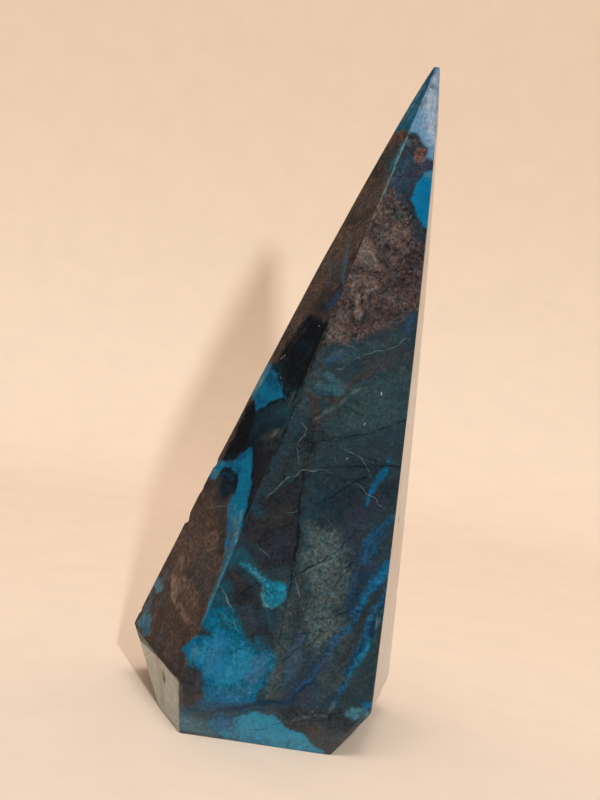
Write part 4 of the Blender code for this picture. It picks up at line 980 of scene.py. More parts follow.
# each line's points are places across its side and heights, each with the half-width there
PALE_LINES = {
    "front_facet": (
        ((11.8, 39.5, 0.06), (12.5, 40.5, 0.1), (13.5, 41.6, 0.11), (14.3, 42.6, 0.1), (15, 43.5, 0.12),
         (16.2, 43.8, 0.12), (17, 44.6, 0.1), (18, 45.2, 0.14), (19, 45.2, 0.12), (20.5, 45.5, 0.09),
         (22, 45.4, 0.07), (23.5, 45.2, 0.06), (24.5, 44.8, 0.05), (25.5, 44, 0.06), (27, 43.8, 0.08),
         (28, 43.2, 0.08), (29.2, 42.4, 0.11), (30, 42, 0.08), (31, 41, 0.06), (32, 40.7, 0.05)),
        ((21.5, 50, 0.05), (23, 49.8, 0.08), (24.3, 49.2, 0.09), (25.3, 48.9, 0.08), (26.5, 48.4, 0.1),
         (27.5, 47.5, 0.09), (28.2, 46.5, 0.08), (29, 45.4, 0.05)),
        ((14.3, 53.6, 0.08), (15.2, 53, 0.09), (16.5, 52.2, 0.09), (17.2, 51.8, 0.07), (17, 51, 0.1),
         (16.3, 50, 0.11), (16, 49.2, 0.08), (16.2, 48, 0.05)),
        ((16.2, 47.7, 0.06), (16.3, 46.5, 0.09), (16.8, 45.7, 0.05)),
        ((20.7, 28.7, 0.08), (21.5, 29.2, 0.11), (22, 29.7, 0.14), (23.5, 30.5, 0.12), (24.3, 31.1, 0.11),
         (24.8, 32, 0.08), (25.2, 33.2, 0.05)),
        ((18.4, 28.5, 0.08), (18.8, 27, 0.09), (19.6, 25.5, 0.09), (20.1, 24, 0.07), (20.3, 22.5, 0.05)),
        ((11.2, 32.4, 0.06), (12.5, 31.3, 0.09), (13.5, 30.5, 0.08), (15, 29.6, 0.05)),
        ((15.5, 37.7, 0.05), (16.5, 38, 0.08), (17.5, 38.4, 0.05)),
        ((20.5, 38.1, 0.04), (22, 37.8, 0.06), (23.5, 37.1, 0.06), (25, 36.9, 0.04)),
        ((6.7, 24.3, 0.12), (7.3, 23.6, 0.22), (8, 22.9, 0.22), (8.6, 22, 0.14), (9.3, 21, 0.07)),
        ((20.3, 62, 0.06), (21.5, 62.5, 0.09), (22.5, 63.5, 0.1), (23.5, 64.6, 0.1), (24.5, 64.8, 0.05)),
        ((25, 65, 0.05), (27, 66, 0.09), (28.5, 66.8, 0.08), (30, 67.6, 0.09), (31, 68.5, 0.12),
         (31.5, 68.8, 0.08), (33, 69, 0.05)),
        ((31, 62.5, 0.06), (31.5, 63.8, 0.09), (32.5, 64.8, 0.1)),
        ((29, 88.3, 0.08), (29.4, 89.3, 0.11), (30, 89.7, 0.08)),
        ((33.2, 23.5, 0.08), (33, 22, 0.1), (32.8, 20.8, 0.06)),
        ((9.6, 19.6, 0.05), (10.2, 18.2, 0.08), (11.2, 17.2, 0.05)),
    ),
    "left_facet": (
        ((19.8, 59.8, 0.06), (21.6, 58.8, 0.14), (23, 57.8, 0.1), (25, 57.3, 0.05)),
        ((27.4, 49.4, 0.08), (28.6, 49.7, 0.16), (29.6, 50.2, 0.1)),
        ((28, 57, 0.08), (29.2, 57.6, 0.16), (29.8, 56.8, 0.08)),
        ((14.6, 34.2, 0.08), (18, 34.9, 0.14), (21, 35.7, 0.14), (23.4, 36.6, 0.08)),
    ),
    "right_facet": (
        ((9, 47, 0.05), (12, 48.5, 0.08), (16, 48, 0.07), (21, 51, 0.05)),
        ((10.5, 68.9, 0.06), (14, 65, 0.09), (20, 62.5, 0.06)),
    ),
    "back_right_facet": (
        ((1, 43, 0.06), (4, 46, 0.09), (9, 47, 0.06)),
    ),
    "back_facet": (
        ((-1, 36, 0.06), (4, 39, 0.09), (9, 36.5, 0.09), (14, 38, 0.06)),
        ((3, 29, 0.06), (9, 31.5, 0.09), (15, 29, 0.06)),
    ),
    "back_left_facet": (
        ((-1, 51, 0.06), (3, 53, 0.09), (8, 51, 0.06)),
    ),
}
CRACK_LINES = {
    "front_facet": (
        ((17.8, 45.4, 0.12), (17.6, 42, 0.2), (17.5, 39, 0.24), (18, 36.5, 0.28), (18.2, 33, 0.33),
         (18.2, 30, 0.28), (18.1, 27, 0.18), (17.9, 24, 0.12), (17.6, 20, 0.1), (17.4, 16, 0.06)),
        ((33, 55.5, 0.14), (31.5, 54.6, 0.13), (29.5, 53.6, 0.13), (27.5, 52.7, 0.15), (26, 52, 0.15),
         (24.5, 51.5, 0.1), (22, 50.9, 0.09), (20, 50.4, 0.06)),
        ((33, 48, 0.22), (31, 47.7, 0.2), (29, 47.4, 0.18), (27.5, 47.1, 0.16), (26, 46.8, 0.15),
         (24, 46.5, 0.14), (22, 46.2, 0.1), (20, 45.8, 0.08)),
        ((28, 45.5, 0.1), (26.5, 44.5, 0.17), (25, 43.4, 0.14), (23.5, 42.3, 0.12), (22, 41, 0.1),
         (21, 40, 0.07)),
        ((18.7, 27.8, 0.16), (20.5, 29.1, 0.2), (22, 30.2, 0.18), (24, 31.7, 0.16), (25.5, 33.4, 0.12),
         (27, 35.8, 0.1), (28.3, 37.8, 0.08)),
        ((22.8, 27, 0.08), (24, 28, 0.12), (25.5, 29, 0.12), (27, 30.5, 0.12), (28, 31.5, 0.08)),
        ((24, 22, 0.08), (24.5, 25, 0.1), (25.3, 27, 0.12), (26.5, 29, 0.1), (27.5, 30.5, 0.06)),
        ((20.5, 20.5, 0.07), (22, 21, 0.1), (24, 21.5, 0.12), (26, 22.3, 0.12), (28, 23.3, 0.08)),
        ((25.5, 22, 0.07), (26.5, 23.5, 0.1), (27.5, 24.5, 0.07)),
        ((20, 18.3, 0.07), (22, 19, 0.1), (24, 19.5, 0.1), (25.5, 21, 0.07)),
        ((21.5, 16, 0.06), (23, 17.5, 0.1), (24, 19.3, 0.1), (25.5, 21.5, 0.06)),
        ((19, 14, 0.08), (20.3, 15.8, 0.1), (21.3, 17, 0.07)),
        ((8.8, 13, 0.1), (9.6, 14.8, 0.1)),
        ((13.5, 14.2, 0.08), (14, 15, 0.08)),
        ((15, 2, 0.07), (17, 2.8, 0.1), (19, 3.7, 0.1), (20.5, 4.1, 0.07)),
        ((22.5, 56.2, 0.08), (24, 56, 0.11), (26, 55.3, 0.08)),
        ((21, 79.1, 0.09), (23, 78.9, 0.12), (24.8, 79.1, 0.08)),
        ((9.4, 22.4, 0.08), (11, 24.6, 0.12), (12.8, 25.8, 0.08)),
    ),
    "left_facet": (
        ((21.6, 58.2, 0.14), (23.4, 57.2, 0.2), (26.5, 56.4, 0.16)),
        ((14.4, 53.2, 0.16), (17, 52.3, 0.18), (19.6, 53.2, 0.16), (22, 54.6, 0.16), (25, 55.3, 0.14),
         (27.5, 56.2, 0.1)),
    ),
    "right_facet": (
        ((4, 20, 0.15), (11, 26, 0.22), (16, 40, 0.25), (19, 60, 0.15)),
    ),
    "back_facet": (
        ((14, 10, 0.15), (10, 30, 0.25), (8, 46, 0.22), (3, 60, 0.15)),
    ),
    "back_right_facet": (
        ((9, 15, 0.15), (7, 35, 0.22), (4, 58, 0.15)),
    ),
    "back_left_facet": (
        ((10, 20, 0.12), (6, 42, 0.22), (4, 60, 0.15)),
    ),
}
RING_LINES = {
    "left_facet": (
        ((19.3, 29.5, 0.14), (20.5, 30.8, 0.18), (22.5, 31, 0.2), (24.5, 30.2, 0.16), (24, 29, 0.14),
         (22, 28.1, 0.2), (20.2, 28.5, 0.16), (19.3, 29.5, 0.14)),
        ((20.5, 29.6, 0.11), (22, 30.1, 0.15), (23.5, 29.6, 0.11), (22, 29.1, 0.15), (20.5, 29.6, 0.11)),
        ((16.7, 21.9, 0.1), (18, 21.7, 0.12), (19.5, 22.2, 0.12), (20.5, 22.4, 0.1), (21.5, 22, 0.1)),
        ((24, 21.2, 0.1), (25.5, 21.4, 0.12), (26.5, 20.8, 0.12), (27.5, 20.2, 0.12), (28.5, 19.6, 0.1),
         (30, 18.4, 0.08)),
        ((21, 16.6, 0.12), (23, 16.8, 0.14), (25, 16.4, 0.14), (27, 16.4, 0.14), (29, 16.9, 0.12),
         (29.8, 17.1, 0.1)),
        ((18.7, 17.3, 0.12), (19.2, 17.9, 0.15), (20.1, 17.9, 0.15), (20.4, 17.3, 0.12), (20, 16.7, 0.15),
         (19.1, 16.7, 0.15), (18.7, 17.3, 0.12)),
        ((12.5, 19.2, 0.12), (14, 18.6, 0.14), (15, 18, 0.14), (17, 17.3, 0.12), (18, 17, 0.08)),
        ((11.5, 21.2, 0.1), (12.5, 21.4, 0.12), (13, 21, 0.08)),
        ((16, 20, 0.1), (19, 19.6, 0.12), (22, 19.4, 0.12), (24.6, 19.8, 0.1)),
        ((8, 27, 0.12), (11, 26.6, 0.16), (14, 26.9, 0.12)),
    ),
    "back_facet": (
        ((6, 12, 0.16), (9, 16, 0.2), (14, 17, 0.2), (16, 13, 0.16), (11, 10, 0.18), (6, 12, 0.16)),
        ((8.5, 13, 0.12), (11, 14.6, 0.16), (13.5, 13.6, 0.12), (11, 12, 0.16), (8.5, 13, 0.12)),
        ((1, 62, 0.12), (3.4, 64, 0.15), (3, 68, 0.14), (0.6, 66, 0.12), (1, 62, 0.12)),
    ),
    "right_facet": (
        ((20, 20, 0.16), (24, 24, 0.2), (28, 23, 0.16), (25, 19, 0.16), (20, 20, 0.16)),
    ),
}
# painted glints: a highlight along the front left ridge near the top, and small bright specks
GLINT_AND_SPECK_LINES = {
    "front_facet": (
        ((28.55, 59.4, 0.13), (28.65, 59.2, 0.13)),
        ((26.4, 53.7, 0.11), (26.55, 54, 0.13)),
        ((24.4, 48, 0.09), (24.5, 48.1, 0.09)),
        ((28.8, 87.8, 0.1), (28.9, 87.9, 0.1)),
        # the painted highlight along the front left ridge
        ((22.4, 85.8, 0.02), (23.7, 90.4, 0.05), (25.1, 95.6, 0.08), (26.3, 100.2, 0.08),
         (27, 103, 0.05)),
        *dots(0.1, (24, 50, 0.07), (6.4, 13.8, 0.08), (11, 14.3, 0.07), (10.5, 12.7, 0.07),
         (13, 11.1, 0.08), (3, 10.1, 0.08), (14, 8, 0.09), (8.7, 8, 0.07), (12.2, 9.6, 0.06),
         (24.5, 6.6, 0.08), (23.5, 5.4, 0.07), (19.3, 17.3, 0.07)),
    ),
    "left_facet": dots(0.2, (21, 82.3, 0.1), (22.5, 80.2, 0.1), (27.5, 68.8, 0.09), (18, 61.8, 0.09),
     (16.5, 13.4, 0.09), (21, 11.8, 0.09)),
}
BLUE_LINES = {
    "front_facet": (
        ((24.6, 13.8, 0.1), (24, 12.4, 0.13), (23.3, 11.4, 0.13), (22, 10.5, 0.1), (21.4, 9.4, 0.06)),
        ((33, 39.8, 0.1), (32, 38.3, 0.13), (31.3, 37, 0.13), (30.5, 36, 0.16), (29.9, 34.6, 0.22),
         (29.6, 33, 0.22), (29.8, 31.5, 0.12)),
        ((32.6, 36.6, 0.1), (31.6, 35.4, 0.14), (30.8, 33.6, 0.12)),
        ((28.4, 29.8, 0.09), (28, 27.5, 0.09), (27.9, 24.5, 0.07)),
        ((18.6, 63, 0.12), (19.6, 63.8, 0.18), (20.8, 64.6, 0.14)),
        ((31.4, 70.2, 0.12), (31.9, 72, 0.2), (32.2, 73.2, 0.1)),
    ),
    "right_facet": (
        ((4.4, 29.4, 0.2), (8, 32.6, 0.3), (12, 35, 0.25), (19, 35.4, 0.12)),
    ),
    "back_facet": (
        ((-1, 18.8, 0.15), (4, 23.4, 0.22), (9, 26.6, 0.18), (15, 30.2, 0.12)),
    ),
}
LINES = {
    "pale": PALE_LINES,
    "crack": CRACK_LINES,
    "ring": RING_LINES,
    "glint_and_speck": GLINT_AND_SPECK_LINES,
    "blue": BLUE_LINES,
}
LINE_REACH = 8.0              # in half-widths

# how the drawn edges wander: length, distance
STRAYS = ((4.5, 0.20), (1.7, 0.08), (0.7, 0.07))
LINE_STRAYS = ((3.0, 0.14), (0.9, 0.05))

# what ruffles soft edges: a large and a small cloud, by turns from each pair; size, seed
CLOUDS = ((2.6, 21), (2.6, 22), (1.1, 23), (1.1, 24))
CLOUD_SHARES = (0.45, 0.30)


def segment_measures(places, stroke):
    """Distance from each place to a stroke, its half-width there, and signed offset from it."""
    best = np.full(len(places), math.inf)
    width = np.ones(len(places))
    offset = np.zeros(len(places))
    for start, end in zip(stroke[:-1], stroke[1:]):
        run = end[:2] - start[:2]
        length = np.linalg.norm(run)
        to_place = places - start[:2]
        share = np.clip(to_place @ run / length ** 2, 0.0, 1.0)
        gap = np.linalg.norm(to_place - share[:, None] * run, axis=1)
        half = start[2] + (end[2] - start[2]) * share
        nearer = gap - half < best - width
        best = np.where(nearer, gap, best)
        width = np.where(nearer, half, width)
        cross = (run[0] * to_place[:, 1] - run[1] * to_place[:, 0]) / length
        offset = np.where(nearer, cross, offset)
    return best, width, offset


def inside_outline(places, outline):
    """Whether each place lies inside a closed outline."""
    inside = np.zeros(len(places), dtype=bool)
    for (x1, y1), (x2, y2) in zip(outline, np.roll(outline, -1, axis=0)):
        spans = (y1 > places[:, 1]) != (y2 > places[:, 1])
        if y1 != y2:
            inside ^= spans & (places[:, 0] < x1 + (places[:, 1] - y1) * (x2 - x1) / (y2 - y1))
    return inside


def stroke_depth(places, points):
    """How deep inside a stroke or a closed patch each place lies; below zero it is outside."""
    if points.shape[1] == 3:
        gap, width, _ = segment_measures(places, points)
        return width - gap
    ring = np.column_stack([np.vstack([points, points[:1]]), np.zeros(len(points) + 1)])
    gap = segment_measures(places, ring)[0]
    return np.where(inside_outline(places, points), gap, -gap)


def paint_side(side, points, places):
    """The ground's colour at these points, and how it is grained, crackled and banded."""
    first, strokes = PAINT[side]
    painted = np.tile(TONES[first], (len(places), 1))
    clouds = [wander(points, size, seed) for size, seed in CLOUDS]
    for number, (tone, cover, soft, *marks) in enumerate(strokes):
        marks = np.array(marks, dtype=float)
        spread = 2.0 * soft + (marks[:, 2].max() if marks.shape[1] == 3 else 0.0)
        low, high = marks[:, :2].min(0) - spread, marks[:, :2].max(0) + spread
        near = np.nonzero(((places >= low) & (places <= high)).all(1))[0]
        depth = stroke_depth(places[near], marks)
        for share, cloud in zip(CLOUD_SHARES, (clouds[number % 2], clouds[2 + number % 2])):
            depth = depth + share * soft * cloud[near]
        filled = np.clip(depth / (2.0 * soft) + 0.5, 0.0, 1.0)
        filled = cover * filled * filled * (3.0 - 2.0 * filled)
        painted[near] += filled[:, None] * (np.array(TONES[tone]) - painted[near])
    return painted


def line_measures(places, marks):
    """Signed offset and distance from the nearest of these lines, in half-widths."""
    offset = np.full(len(places), LINE_REACH)
    nearest = np.full(len(places), LINE_REACH)
    for mark in marks:
        gap, width, cross = segment_measures(places, np.array(mark, dtype=float))
        nearer = gap / width < nearest
        offset = np.where(nearer, cross / width, offset)
        nearest = np.where(nearer, gap / width, nearest)
    return np.clip(offset, -LINE_REACH, LINE_REACH), nearest


def strayed(places, points, strays, seed):
    """The places moved about by wobbles of several sizes, so that nothing drawn is smooth."""
    for step, (length, distance) in enumerate(strays):
        for axis in (0, 1):
            wobble = wander(points, length, seed + 2 * step + axis)
            places = places + distance * np.eye(2)[axis] * wobble[:, None]
    return places


def mark_stone(mesh, flat, sides):
    """Stores the painted ground, and the way to each kind of line, at every corner of every face."""
    corner_counts = np.empty(len(mesh.polygons), dtype=np.int32)
    mesh.polygons.foreach_get("loop_total", corner_counts)
    corner_side = np.repeat(sides, corner_counts)
    corner_vertex = np.empty(len(mesh.loops), dtype=np.int32)
    mesh.loops.foreach_get("vertex_index", corner_vertex)
    layers = {name: np.zeros((len(mesh.loops), 3)) for name in ("ground_colour", "ground_grain", *LINES)}
    for place, side in enumerate(SIDES):
        corners = np.nonzero(corner_side == place)[0]
        used, back = np.unique(corner_vertex[corners], return_inverse=True)
        points = flat[used]
        level = points[:, 1] if side in ("base", "tip") else points[:, 2]
        places = np.column_stack([across(side, points), level])
        painted = paint_side(side, points, strayed(places, points, STRAYS, seed=31))[back]
        layers["ground_colour"][corners] = painted[:, :3]
        layers["ground_grain"][corners] = painted[:, 3:]
        places = strayed(places, points, LINE_STRAYS, seed=41)
        for name, lines in LINES.items():
            offset, nearest = line_measures(places, lines.get(side, ()))
            layers[name][corners, 0] = offset[back]
            layers[name][corners, 1] = nearest[back]
    for name, values in layers.items():
        layer = mesh.attributes.new(name, "FLOAT_VECTOR", "CORNER")
        layer.data.foreach_set("vector", values.astype(np.float32).ravel())


# ------------------------------------------------------------------ the polished surface

# noises: the size of their largest lumps in mm, detail, roughness, and how far each is moved
DRIFT = (5.0, 3.0, 0.55, 0.0)
SHARD_DRIFT = (1.3, 3.0, 0.55, 0.0)
FINE = (0.55, 5.0, 0.80, 31.0)
MEDIUM = (1.8, 6.0, 0.70, 57.0)
STREAKS = (1.6, 4.0, 0.62, 17.0)
FLECKS = (0.42, 3.0, 0.70, 63.0)
TINTS = (1.7, 4.0, 0.60, 91.0)
FLOW = (9.0, 2.0, 0.45, 12.0)
CRAZING = (3.2, 3.0, 0.60, 66.0)
SHARDS = (1.5, 3.0, 0.60, 27.0)
CRAZING_GAPS = (4.0, 3.0, 0.60, 44.0)
HAIRS = (6.5, 2.0, 0.50, 23.0)
HAIR_GAPS = (5.0, 3.0, 0.60, 39.0)
LINE_WIGGLE = (0.8, 4.0, 0.65, 5.0)
LINE_GAPS = (1.9, 3.0, 0.60, 44.0)
SPECK_GAPS = (3.1, 1.0, 0.50, 71.0)
SCRATCHES = (1.0, 4.0, 0.65, 0.0)
SMEARS = (7.0, 4.0, 0.60, 90.0)
RELIEF = (0.55, 3.0, 0.60, 31.0)
NOISE_MIDDLE = 0.5
DRIFT_REACH = 5.0             # millimetres
SHARD_DRIFT_REACH = 1.2

# patterns that run one way: how they are turned, and how they are squeezed
BEDDING = ((0.35, 0.75, 0.2), (0.5, 1.0, 1.7))
FLOW_BEDDING = ((0.0, 0.25, 0.0), (0.5, 0.5, 1.25))
SCRATCH_RUN = ((0.0, 0.0, 0.0), (3.2, 3.2, 0.16))

# how far each thing lightens the stone, in doublings of its colour
FINE_WEIGHT, MEDIUM_WEIGHT, STREAK_WEIGHT = 7.6, 2.2, 1.8
GRAIN_LEVEL = -5.8            # takes the three grains' average back to no change
BAND_WEIGHT = 0.42
CRAZE_WEIGHT = -1.3
CRACK_WEIGHT = -1.4
SCRATCH_WEIGHT, SCRATCH_LEVEL = 2.4, -1.2

BAND_PACE = 110.0
CRAZE_WIDTH = 0.010           # these three are shares of a noise's range
SHARD_WIDTH = 0.035
HAIR_WIDTH = 0.0045
FLECK_GAIN, FLECK_LIFT = (1.8, 1.8, 1.8), (0.003, 0.004, 0.004)
HAIR_GAIN, HAIR_LIFT = (1.6, 1.6, 1.6), (0.016, 0.022, 0.024)
HAIR_COVER = 0.6
COOL_TINT, WARM_TINT = (0.78, 1.00, 1.12), (1.20, 0.99, 0.90)
SPECK_SPACING = 3.4

# lines: kind, reach and softness in half-widths, wiggle, faintest cover, and fade at the ends
HALO = ("blue", 2.4, 2.2, 9.0, 0.2, 2.0)
CORE = ("blue", 0.7, 0.7, 9.0, 0.0, 2.0)
RING = ("ring", 0.7, 0.7, 5.0, 0.0, 2.0)
CRACK = ("crack", 0.8, 0.8, 3.0, 0.2, 2.0)
PALE = ("pale", 0.5, 0.5, 3.2, 0.0, 2.0)
# painted glints: the ridge's highlight and the bright specks
GLINT_AND_SPECK = ("glint_and_speck", 0.8, 0.5, 1.0, 0.6, 0.9)
HALO_COLOUR = (0.016, 0.043, 0.092)
RING_COLOUR = (0.175, 0.122, 0.096)
PALE_COLOUR = (0.150, 0.205, 0.215)
GLINT_AND_SPECK_COLOUR = (0.33, 0.43, 0.45)
SPECK_COLOUR = (0.22, 0.27, 0.28)

GROUND_FROM, GROUND_TO = 101.0, 106.0     # the tip was ground and left duller above here
GROUND_ROUGHNESS = 0.22
POLISH_VARIES = 0.06
RELIEF_STRENGTH, RELIEF_DEPTH = 0.25, 0.004
SCRATCH_RELIEF = 0.5
STONE_IOR = 1.6


class Recipe:
    """Lays out one material's nodes, so that its recipe reads from top to bottom."""

    def __init__(self, name):
        self.material = bpy.data.materials.new(name)
        self.material.use_nodes = True
        self.tree = self.material.node_tree
        self.tree.nodes.clear()

    def node(self, kind, inputs=(), **settings):
        made = self.tree.nodes.new(kind)
        for key, value in settings.items():
            setattr(made, key, value)
        for key, value in dict(inputs).items():
            self.feed(made.inputs[key], value)
        return made

    def feed(self, socket, value):
        if isinstance(value, bpy.types.NodeSocket):
            self.tree.links.new(value, socket)
        else:
            socket.default_value = value

    def finish(self, surface):
        """Makes this shader the material's surface, and gives the material."""
        output = self.node("ShaderNodeOutputMaterial")
        self.tree.links.new(surface.outputs[0], output.inputs["Surface"])
        return self.material

    def sum(self, operation, *parts):
        return self.node("ShaderNodeMath", dict(enumerate(parts)), operation=operation).outputs[0]

    def vector(self, operation, *parts):
        made = self.node("ShaderNodeVectorMath", dict(enumerate(parts)), operation=operation)
        return made.outputs[0]

    def even(self, value):
        """One number as all three of a vector's."""
        return self.node("ShaderNodeCombineXYZ", {0: value, 1: value, 2: value}).outputs[0]

    def step(self, value, low, high, bottom=0.0, top=1.0):
        """A smooth climb from bottom to top as the value goes from low to high."""
        fed = {"Value": value, "From Min": low, "From Max": high, "To Min": bottom, "To Max": top}
        return self.node("ShaderNodeMapRange", fed, interpolation_type="SMOOTHSTEP").outputs[0]

    def mix(self, share, under, over, blend="MIX"):
        made = self.node("ShaderNodeMix", data_type="RGBA", blend_type=blend)
        for place, value in ((0, share), (6, under), (7, over)):
            whole = isinstance(value, (bpy.types.NodeSocket, float))
            self.feed(made.inputs[place], value if whole else (*value, 1.0))
        return made.outputs[2]

    def noise(self, place, setting, output="Fac"):
        """Cloudy noise, set by one of the rows above."""
        size, detail, rough, shift = setting
        if shift:
            place = self.vector("ADD", place, (shift, shift * 0.7, -shift))
        fed = {"Vector": place, "Scale": 1.0 / size, "Detail": detail, "Roughness": rough}
        return self.node("ShaderNodeTexNoise", fed).outputs[output]

    def nearest_spot(self, place, spacing):
        """How far the nearest of some scattered spots is, as a share of their spacing."""
        fed = {"Vector": place, "Scale": 1.0 / spacing}
        return self.node("ShaderNodeTexVoronoi", fed, feature="F1").outputs["Distance"]

    def stretched(self, place, turn, scale):
        """Places turned and squeezed, for patterns that run one way."""
        fed = {"Vector": place, "Rotation": turn, "Scale": scale}
        return self.node("ShaderNodeMapping", fed, vector_type="POINT").outputs[0]

    def pushed(self, place, setting, distance):
        """The place pushed about by cloudy noise, up to about half this distance."""
        drift = self.noise(place, setting, "Color")
        centred = self.vector("ADD", place, (-distance / 2.0,) * 3)
        return self.vector("MULTIPLY_ADD", drift, (distance,) * 3, centred)

    def layer(self, name):
        """One of the mesh's attributes, as its three numbers."""
        found = self.node("ShaderNodeAttribute", attribute_name=name).outputs["Vector"]
        return self.node("ShaderNodeSeparateXYZ", {0: found}).outputs


def stone_places(recipe):
    """The surface point in millimetres, and the same point pushed about by slow noise."""
    place = recipe.node("ShaderNodeTexCoord").outputs["Object"]
    place = recipe.vector("MULTIPLY", place, (1.0 / MM,) * 3)
    return place, recipe.pushed(place, DRIFT, DRIFT_REACH)


def isolines(recipe, field, width):
    """Thin winding lines: wherever a smooth noise passes through its middle."""
    away = recipe.sum("ABSOLUTE", recipe.sum("SUBTRACT", field, NOISE_MIDDLE))
    return recipe.step(away, 0.3 * width, width, 1.0, 0.0)


def scaled(recipe, colour, amount):
    """The colour, doubled for each one that the amount goes up."""
    return recipe.vector("MULTIPLY", colour, recipe.even(recipe.sum("POWER", 2.0, amount)))


def stone_ground(recipe, settings, place, drifted):
    """The painted ground with its grain, flecks, tints, bands, crackle and hairlines."""
    colour = recipe.node("ShaderNodeAttribute", attribute_name="ground_colour").outputs["Vector"]
    grained, crackled, banded = recipe.layer("ground_grain")
    grained = recipe.sum("MULTIPLY", grained, settings.grain)

    fine = recipe.noise(place, FINE)
    medium = recipe.noise(drifted, MEDIUM)
    streaks = recipe.noise(recipe.stretched(drifted, *BEDDING), STREAKS)
    medium_part = recipe.sum("MULTIPLY", medium, MEDIUM_WEIGHT)
    spread = recipe.sum("MULTIPLY_ADD", fine, FINE_WEIGHT, medium_part)
    spread = recipe.sum("ADD", spread, recipe.sum("MULTIPLY_ADD", streaks, STREAK_WEIGHT, GRAIN_LEVEL))
    colour = scaled(recipe, colour, recipe.sum("MULTIPLY", spread, grained))

    flecked = recipe.step(recipe.noise(place, FLECKS), 0.56, 0.70)
    flecked = recipe.sum("MULTIPLY", flecked, recipe.step(medium, 0.42, 0.60, 0.25, 1.0))
    flecked = recipe.sum("MULTIPLY", flecked, recipe.step(grained, 0.1, 1.0, 0.15, 0.65))
    colour = recipe.mix(flecked, colour, recipe.vector("MULTIPLY_ADD", colour, FLECK_GAIN, FLECK_LIFT))

    tint = recipe.mix(recipe.step(recipe.noise(drifted, TINTS), 0.32, 0.68), COOL_TINT, WARM_TINT)
    colour = recipe.mix(recipe.step(grained, 0.05, 0.8, 0.15, 0.85), colour, tint, "MULTIPLY")

    flow = recipe.noise(recipe.stretched(drifted, *FLOW_BEDDING), FLOW)
    waves = recipe.sum("SINE", recipe.sum("MULTIPLY", flow, BAND_PACE))
    bands = recipe.sum("MULTIPLY", recipe.sum("MULTIPLY", waves, BAND_WEIGHT), banded)
    colour = scaled(recipe, colour, bands)

    patchy = recipe.noise(place, CRAZING_GAPS)
    crazed = isolines(recipe, recipe.noise(drifted, CRAZING), CRAZE_WIDTH)
    shard_place = recipe.pushed(place, SHARD_DRIFT, SHARD_DRIFT_REACH)
    shards = isolines(recipe, recipe.noise(shard_place, SHARDS), SHARD_WIDTH)
    shards = recipe.sum("MULTIPLY", shards, recipe.step(patchy, 0.50, 0.60))
    crazed = recipe.sum("MULTIPLY", recipe.sum("MAXIMUM", crazed, shards), crackled)
    crazed = recipe.sum("MULTIPLY", crazed, recipe.step(patchy, 0.36, 0.56, 0.5, 2.2))
    colour = scaled(recipe, colour, recipe.sum("MULTIPLY", crazed, CRAZE_WEIGHT))

    hairs = isolines(recipe, recipe.noise(drifted, HAIRS), HAIR_WIDTH)
    hairs = recipe.sum("MULTIPLY", hairs, recipe.step(recipe.noise(place, HAIR_GAPS), 0.50, 0.64))
    hairs = recipe.sum("MULTIPLY", hairs, settings.veins)
    lighter = recipe.vector("MULTIPLY_ADD", colour, HAIR_GAIN, HAIR_LIFT)
    return recipe.mix(recipe.sum("MULTIPLY", hairs, HAIR_COVER), colour, lighter)


def stone_colour(recipe, settings, place, drifted):
    """The whole colour: the ground, then the placed lines, the painted glints among them, and the
    smallest specks.
    """
    colour = stone_ground(recipe, settings, place, drifted)
    wiggle = recipe.noise(place, LINE_WIGGLE)
    patchy = recipe.noise(place, LINE_GAPS)

    def line(kind, reach, soft, stray, faint, ends):
        """How fully the lines of one kind cover the surface: ragged, and fading here and there."""
        offset, nearest, _ = recipe.layer(kind)
        moved = recipe.sum("MULTIPLY_ADD", recipe.sum("SUBTRACT", wiggle, NOISE_MIDDLE), stray, offset)
        core = recipe.step(recipe.sum("ABSOLUTE", moved), reach - soft, reach + soft, 1.0, 0.0)
        ended = recipe.step(nearest, reach + 0.3 * ends, reach + ends, 1.0, 0.0)
        core = recipe.sum("MULTIPLY", core, ended)
        return recipe.sum("MULTIPLY", core, recipe.step(patchy, 0.34, 0.56, faint, 1.0))

    def laid(under, share, cover, over):
        """One colour laid over another, as fully as the share times the cover."""
        return recipe.mix(recipe.sum("MULTIPLY", share, cover), under, over)

    colour = laid(colour, line(*HALO), 0.7, HALO_COLOUR)
    colour = laid(colour, line(*CORE), 0.8, settings.azure)
    colour = laid(colour, line(*RING), 0.9, RING_COLOUR)
    colour = scaled(recipe, colour, recipe.sum("MULTIPLY", line(*CRACK), CRACK_WEIGHT))
    colour = laid(colour, recipe.sum("MULTIPLY", line(*PALE), settings.veins), 0.8, PALE_COLOUR)
    # painted glints laid over the stone: the highlight along the front left ridge and bright specks
    colour = laid(colour, line(*GLINT_AND_SPECK), 0.8, GLINT_AND_SPECK_COLOUR)
    specks = recipe.step(recipe.nearest_spot(place, SPECK_SPACING), 0.022, 0.042, 0.8, 0.0)
    specks = recipe.sum("MULTIPLY", specks, recipe.step(recipe.noise(place, SPECK_GAPS), 0.58, 0.62))
    colour = recipe.mix(specks, colour, SPECK_COLOUR)
    return recipe.mix(1.0, colour, settings.tint, "MULTIPLY")


